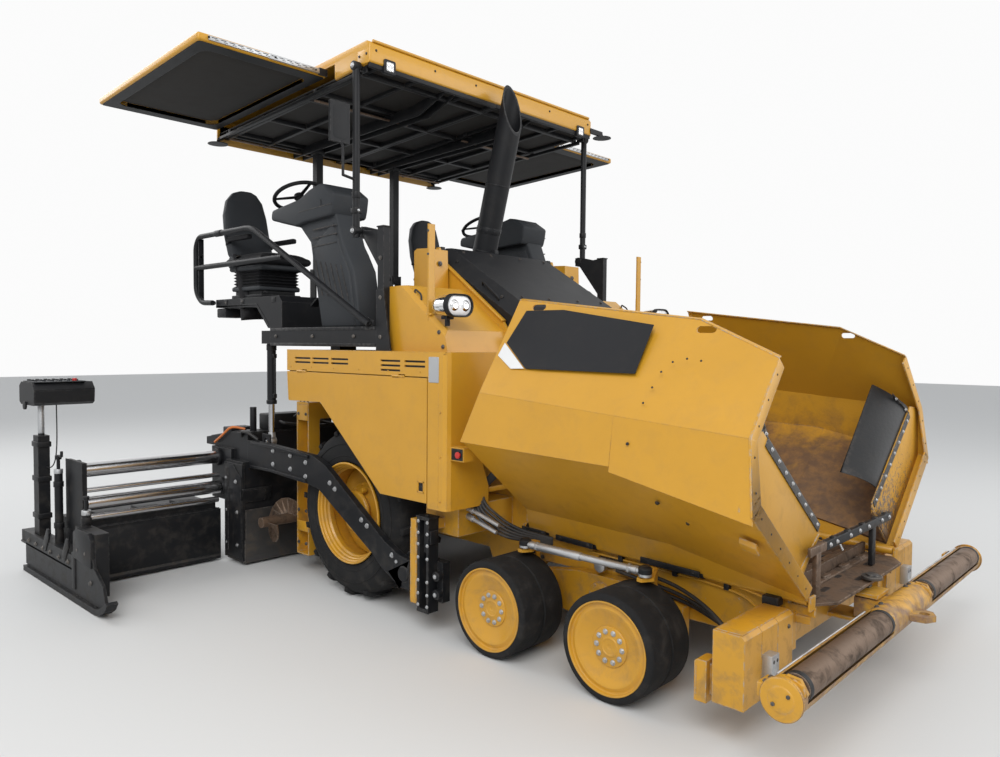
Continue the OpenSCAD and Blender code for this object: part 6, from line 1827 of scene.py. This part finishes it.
def screedParts():
    # walkway covers, side plate's fixings, burner covers and pipes
    cover = begin("walkway_right")
    for index in range(4):
        y = -0.14 - index * 0.255
        plateY([(-1.905, 0.958), (-1.905, 0.97), (-1.425, 1.05), (-1.245, 1.05), (-1.245, 1.038), (-1.42, 1.038)],
            (y - 0.244, y))
    pairPiece(cover, "screed", "black", bevel=0.002)
    tread = begin("walkway_tread_right")
    for row in range(14):
        for column in range(3):
            x, y = -1.82 + column * 0.13, -0.19 - row * 0.068
            high = 0.968 + (x + 1.905) * 0.1667
            slab((x, x + 0.05), (y - 0.008, y), (high + 0.002, high + 0.012))
    pairPiece(tread, "screed", "steelDark")
    side = begin("screed_side_right")
    plateY([(-1.455, 0.06), (-1.455, 0.79), (-1.33, 0.79), (-1.215, 0.7), (-1.208, 0.06)], (-1.256, -1.2495))
    slab((-1.454, -1.41), (-1.262, -1.25), (0.1, 0.76), 0.002)
    plateY([(-1.22, 0.5), (-1.206, 0.5), (-1.19, 0.61), (-1.206, 0.61)], (-1.25, -1.0))
    pairPiece(side, "screed", "black", bevel=0.002)
    rows = [((x, -1.2575, z), (0, -1, 0), 0.012) for x, z in ((-1.432, 0.16), (-1.432, 0.42), (-1.432, 0.68),
        (-1.27, 0.16), (-1.27, 0.42), (-1.29, 0.66))]
    boltSet("screed_bolts_right", "screed", "galvanised", rows)
    # jacks and boxes on the screed's deck with a pipe along its front
    boxes = begin("screed_boxes_right")
    slab((-1.42, -1.26), (-0.98, -0.64), (1.048, 1.18), 0.012)
    slab((-1.41, -1.28), (-0.56, -0.36), (1.048, 1.14), 0.01)
    slab((-1.7, -1.56), (-1.15, -0.95), (0.985, 1.06), 0.01)
    rod((-1.33, -1.08, 1.048), (-1.33, -1.08, 1.24), 0.026, 24)
    pairPiece(boxes, "screed", "black", bevel=0.001)
    pipeSet("screed_pipes_right", "screed", "hose", [[(-1.23, -0.9, 1.12), (-1.17, -0.9, 1.11), (-1.16, -0.7, 1.08),
        (-1.16, -0.3, 1.06)], [(-1.235, -0.76, 1.15), (-1.14, -0.76, 1.19), (-1.1, -0.62, 1.12),
        (-1.15, -0.42, 1.07)], [(-1.35, -1.16, 0.99), (-1.28, -1.215, 1.06), (-1.18, -1.215, 1.06),
        (-1.12, -1.16, 1.0)]], 0.012, bend=0.1, sides=12)
    pipeSet("screed_hose_right", "screed", "orange", [[(-1.42, -1.1, 1.055), (-1.5, -1.18, 1.08), (-1.6, -1.205, 1.0),
        (-1.74, -1.2, 0.93)]], 0.01, bend=0.1, sides=12)
    ends = begin("guide_collars_right")
    for x, z in (screed["tubeHigh"], screed["tubeLow"]):
        lathe([(0.0528, 0.0), (0.068, 0.002), (0.07, 0.012), (0.07, 0.03), (0.0528, 0.032)], (x, -1.248, z), 40)
    pairPiece(ends, "screed", "black", bevel=0.001)


def extensionParts():
    out = screed["extOut"]
    rows = [((x, -y, 0.4705), (0, 0, 1), 0.01) for x in (-1.86, -1.56) for y in (1.4, 1.7, 2.0, 2.25)]
    boltSet("extension_bolts_right", "ext_right", "steelDark", rows)
    shield = begin("extension_shield_right")
    plateY([(-1.5, 0.06), (-1.492, 0.06), (-1.492, 0.38), (-1.515, 0.43), (-1.52, 0.422), (-1.5, 0.378)],
        (-2.325, -1.28))
    slab((-1.925, -1.496), (-2.325, -1.277), (0.018, 0.04), 0.003)
    for y in (-1.5, -1.8, -2.1):
        slab((-1.76, -1.62), (y - 0.08, y + 0.08), (0.469, 0.5), 0.006)
    pairPiece(shield, "ext_right", "black", bevel=0.002)
    shoe = begin("extension_shoe_right")
    slab((-1.922, -1.498), (-2.33, -1.278), (0.0195, 0.06), 0.002)
    pairPiece(shoe, "ext_right", "steelDark", slotName="worn_steel")
    flanges = begin("tube_flanges_right")
    for x, z in (screed["tubeHigh"], screed["tubeLow"]):
        lathe([(0.0525, 0.0), (0.078, 0.002), (0.08, 0.008), (0.08, 0.022), (0.0525, 0.024)], (x, -2.299, z), 40)
        for index in range(6):
            turn = math.tau * index / 6
            bolt((x + 0.067 * math.cos(turn), -2.277, z + 0.067 * math.sin(turn)), (0, 1, 0), 0.006)
    slab((-1.765, -1.435), (-2.334, -2.3295), (0.395, 0.905), 0.001)
    pairPiece(flanges, "ext_right", "black", bevel=0.001)
    # slim slide rods beside the big tubes
    rods = begin("slide_rods_right")
    rod((-1.48, -1.3, 0.7), (-1.48, -2.3, 0.7), 0.018, 20)
    rod((-1.5, -1.3, 0.5), (-1.5, -2.3, 0.5), 0.024, 20)
    pairPiece(rods, "ext_right", "bright")


remoteCable = {"across": 0.009, "steps": 28, "bends": ((-2.05, -2.3, 1.306), (-2.05, -2.3, 1.0), (-1.9, -2.33, 0.74),
    (-2.122, -2.372, 0.82))}


def gateParts():
    side = screed["side"]
    rows = [((x, -side - 0.0105, z), (0, -1, 0), 0.013) for x,
        z in ((-2.22, 0.24), (-2.06, 0.24), (-1.9, 0.24), (-1.74, 0.24), (-1.56, 0.24), (-1.38, 0.24), (-1.18, 0.36),
        (-1.04, 0.36), (-0.96, 0.18))]
    boltSet("gate_bolts_right", "ext_right", "steelDark", rows)
    parts = begin("gate_parts_right")
    slab((-2.42, -1.29), (-side - 0.01, -side + 0.004), (0.196, 0.212), 0.002)
    plateY([(-1.25, 0.3), (-1.25, 0.47), (-1.19, 0.505), (-0.98, 0.505), (-0.935, 0.455), (-0.935, 0.28)],
        (-side - 0.02, -side + 0.008))
    slab((-1.29, -1.23), (-side - 0.018, -side + 0.01), (0.08, 0.33), 0.004)
    # linkage arms that carry the gate
    for x in (-1.88, -1.48):
        plateY([(x, 0.23), (x + 0.05, 0.23), (x + 0.12, 0.34), (x + 0.12, 0.4), (x + 0.08, 0.4), (x, 0.29)],
            (-side - 0.016, -side - 0.004))
    # upright's clamps, the jack's handle and the sonic sensor's arm
    for z in (0.42, 0.7, 0.96):
        slab((-2.204, -2.066), (-2.428, -2.332), (z, z + 0.04), 0.004)
    rod((-1.77, -2.38, 0.9), (-1.77, -2.38, 0.93), 0.022, 20)
    rod((-1.8, -2.38, 0.925), (-1.7, -2.38, 0.925), 0.007, 12)
    rod((-1.7, -2.38, 0.925), (-1.7, -2.38, 0.965), 0.01, 12)
    rod((-1.23, -2.38, 0.68), (-1.23, -2.38, 0.705), 0.02, 20)
    for x, z1, z2 in ((-1.77, 0.7, 0.74), (-1.77, 0.4, 0.44), (-1.23, 0.52, 0.56)):
        rod((x, -2.38, z1), (x, -2.38, z2), 0.034, 24)
    pairPiece(parts, "ext_right", "black", bevel=0.002)
    collar = begin("jack_collars_right")
    for x, z in ((-1.77, 0.818), (-1.23, 0.598)):
        rod((x, -2.38, z - 0.02), (x, -2.38, z + 0.012), 0.03, 24)
    rod((-2.135, -2.38, 1.06), (-2.135, -2.38, 1.275), 0.0228, 24)
    pairPiece(collar, "ext_right", "galvanised", bevel=0.001)
    # remote box: keypad face, guard and knobs
    face = begin("remote_face_right")
    slab((-2.23, -1.96), (-2.47, -2.12), (1.4495, 1.4565), 0.002)
    for row in range(3):
        for column in range(6):
            x, y = -2.2 + row * 0.08, -2.44 + column * 0.056
            rod((x, y, 1.456), (x, y, 1.468), 0.012, 12)
    pairPiece(face, "ext_right", "grey")
    cap = begin("remote_knobs_right")
    rod((-2.02, -2.18, 1.456), (-2.02, -2.18, 1.476), 0.016, 16)
    pairPiece(cap, "ext_right", "red", bevel=0.001)
    lid = begin("remote_lid_right")
    plateY([(-1.94, 1.3), (-1.93, 1.4), (-1.985, 1.452), (-1.996, 1.446), (-1.946, 1.394), (-1.952, 1.3)],
        (-2.484, -2.066))
    rod((-2.135, -2.48, 1.275), (-2.135, -2.495, 1.275), 0.03, 20)
    pairPiece(lid, "ext_right", "black", bevel=0.0015)
    # plain cable that hangs from the remote box and goes into the upright's side
    start, pull, turn, end = [Vector(point) for point in remoteCable["bends"]]
    route = []
    for step in range(remoteCable["steps"] + 1):
        t = step / remoteCable["steps"]
        route.append(start * (1 - t) ** 3 + pull * 3 * t * (1 - t) ** 2 + turn * 3 * t * t * (1 - t) + end * t ** 3)
    cable = pipe("remote_cable_right", route, remoteCable["across"] / 2, 12, 0.0005)
    pairPiece(cable, "ext_right", "hose", smooth=60)


def augerParts():
    # the drive's chain case cover and its bolts
    cover = begin("auger_case_cover")
    plateX(roundedOutline((-0.056, 0.31), (0.056, 0.88), 0.03), (-0.9605, -0.95))
    slab((-1.095, -0.905), (-0.262, 0.262), (1.058, 1.066), 0.003)
    finishPiece(cover, "chassis", "black", bevel=0.002)
    rows = [((-0.95, y, z), (1, 0, 0), 0.009) for y in (-0.04, 0.04) for z in (0.34, 0.5, 0.66, 0.84)]
    boltSet("auger_case_bolts", "chassis", "steelDark", rows, both=False)


screedParts()
extensionParts()
gateParts()
augerParts()
print("tow gear, screed and end gates are dressed")

# roof shell and its beams


def roofShell():
    top = canopy["top"]
    shell = begin("roof_shell")
    plateY([(0.32, top - 0.147), (0.32, top - 0.034), (0.306, top - 0.012), (0.28, top), (-1.66, top - 0.1),
        (-1.704, top - 0.12), (-1.72, top - 0.16), (-1.72, top - 0.33)], (-1.183, 1.183))
    closeShape()
    soften = shell.modifiers.new("soften", "BEVEL")
    soften.width = 0.015
    soften.segments = 4
    soften.limit_method = "ANGLE"
    soften.angle_limit = math.radians(50)
    clearSelection()
    shell.select_set(True)
    bpy.context.view_layer.objects.active = shell
    bpy.ops.object.modifier_apply(modifier=soften.name)
    hollow = begin("roof_hollow_tool")
    plateY([(0.3, top - 0.2), (0.3, top - 0.047), (-1.7, top - 0.147), (-1.7, top - 0.42)], (-1.163, 1.163))
    closeShape()
    punch(shell, hollow)
    gap = begin("roof_gap_tool")
    plateY([(-0.06, top - 0.24), (-0.06, top - 0.077), (-1.69, top - 0.157), (-1.69, top - 0.34)], (-1.3, 1.3))
    closeShape()
    punch(shell, gap)
    finishPiece(shell, "canopy_roof", "yellow", bevel=0.0015, replaces=("canopy_roof",), smooth=40)
    beams = begin("roof_beams_right")
    for y in (-0.38, -0.474):
        plateY([(0.3, top - 0.107), (0.3, top - 0.147), (-0.02, top - 0.267), (-1.705, top - 0.322),
            (-1.705, top - 0.258), (-0.09, top - 0.19)], (y, y + 0.014))
    slab((-0.35, -0.31), (-1.16, -0.3), (top - 0.208, top - 0.175), 0.002)
    slab((-1.56, -1.52), (-1.16, -0.3), (top - 0.269, top - 0.2345), 0.002)
    plateY([(0.19, top - 0.192), (0.26, top - 0.192), (0.26, top - 0.042), (0.19, top - 0.047)], (-1.164, -1.147))
    rod((0.22, -1.238, 3.545), (0.22, -1.15, 3.545), 0.0138, 20)
    rod((-1.4, -0.47, 3.42), (-1.4, -0.37, 3.42), 0.0138, 20)
    pairPiece(beams, "canopy_roof", "black", bevel=0.0015)


# mouth of the hopper


def hopperMouth():
    # bar in front of the folding plates, on two uprights from the lip
    bar = begin("mouth_bar")
    slab((2.962, 2.985), (-0.4, 0.585), (0.752, 0.798), 0.002)
    slab((2.96, 2.984), (0.275, 0.325), (0.54, 0.756), 0.002)
    for y in (-0.3, -0.1, 0.12, 0.33, 0.5):
        slab((2.962, 2.984), (y - 0.02, y + 0.02), (0.797, 0.806), 0.001)
    finishPiece(bar, "chassis", "black", bevel=0.0015)
    rows = [((2.985, y, 0.775), (1, 0, 0), 0.009) for y in (-0.36, -0.27, -0.08, 0.06, 0.2, 0.42, 0.545)]
    boltSet("mouth_bar_bolts", "chassis", "galvanised", rows, both=False)
    edge = begin("mouth_bar_edge")
    slab((2.964, 2.983), (-0.6, -0.398), (0.754, 0.796), 0.003)
    slab((2.96, 2.984), (-0.525, -0.475), (0.54, 0.758), 0.002)
    finishPiece(edge, "chassis", "worn")
    # dark rounded plates on the lip: painted shade for its four slots
    slotShade = begin("lip_slots")
    for x, y, long, wide in ((2.945, 0.33, 0.05, 0.016), (2.95, -0.33, 0.05, 0.016), (3.01, 0.02, 0.075, 0.014),
            (2.91, -0.05, 0.035, 0.02)):
        plateZ([(x + a, y + b) for a, b in roundedOutline((-wide, -long), (wide, long), wide * 0.95)],
            (0.5345, 0.5358))
    finishPiece(slotShade, "chassis", "dark")
    scraper = begin("lip_scraper")
    plateZ([(2.86, -0.55), (2.905, -0.55), (2.905, 0.55), (2.86, 0.55)], (0.535, 0.545))
    for y in (-0.4, -0.14, 0.14, 0.4):
        slab((2.862, 2.896), (y - 0.04, y + 0.04), (0.544, 0.556), 0.002)
    finishPiece(scraper, "chassis", "worn", bevel=0.002)
    posts = begin("mouth_brackets_right")
    slab((2.88, 2.99), (-0.6125, -0.598), (0.43, 0.47), 0.002)
    pairPiece(posts, "chassis", "chipped", bevel=0.0015)
    probe = begin("feed_probe_right")
    rod((2.78, -0.32, 0.64), (2.83, -0.3, 0.56), 0.007, 12)
    pairPiece(probe, "chassis", "galvanised")
    # chains over the conveyor's slats
    chain = begin("conveyor_chain_right")
    for side in (-0.3, -0.09):
        for index in range(26):
            x = 1.9 + index * 0.034
            slab((x, x + 0.028), (side - 0.012, side + 0.012), (0.528, 0.542), 0.002)
    pairPiece(chain, "chassis", "steelDark", slotName="worn_steel")
    # rear gate above the conveyor, with two upright strips on it
    gate = begin("hopper_rear_right")
    slab((1.1195, 1.124), (-0.58, 0.0), (1.05, 1.8), 0.001)
    for y in (-0.5, -0.26):
        slab((1.12, 1.134), (y - 0.012, y + 0.012), (1.06, 1.78), 0.003)
    pairPiece(gate, "chassis", "hopper", slotName="yellow_paint")


def wingFloorFront():
    # bare front part of the wing's floor, behind the inner plate
    rows = []
    for x in (2.33, 2.64, 2.926):
        low, high = between(wingRows, x, 1), between(wingRows, x, 2)
        rows.append([tuple(low + Vector((0, 0.022, 0.012))), tuple(high + Vector((0, 0.016, 0.01)))])
    sheet = begin("wing_floor_front_right")
    foldedSheet(rows, (0, -0.003, -0.003))
    pairPiece(sheet, "wing_right", "hopper")


roofShell()
hopperMouth()
wingFloorFront()
print("roof and hopper mouth are dressed")
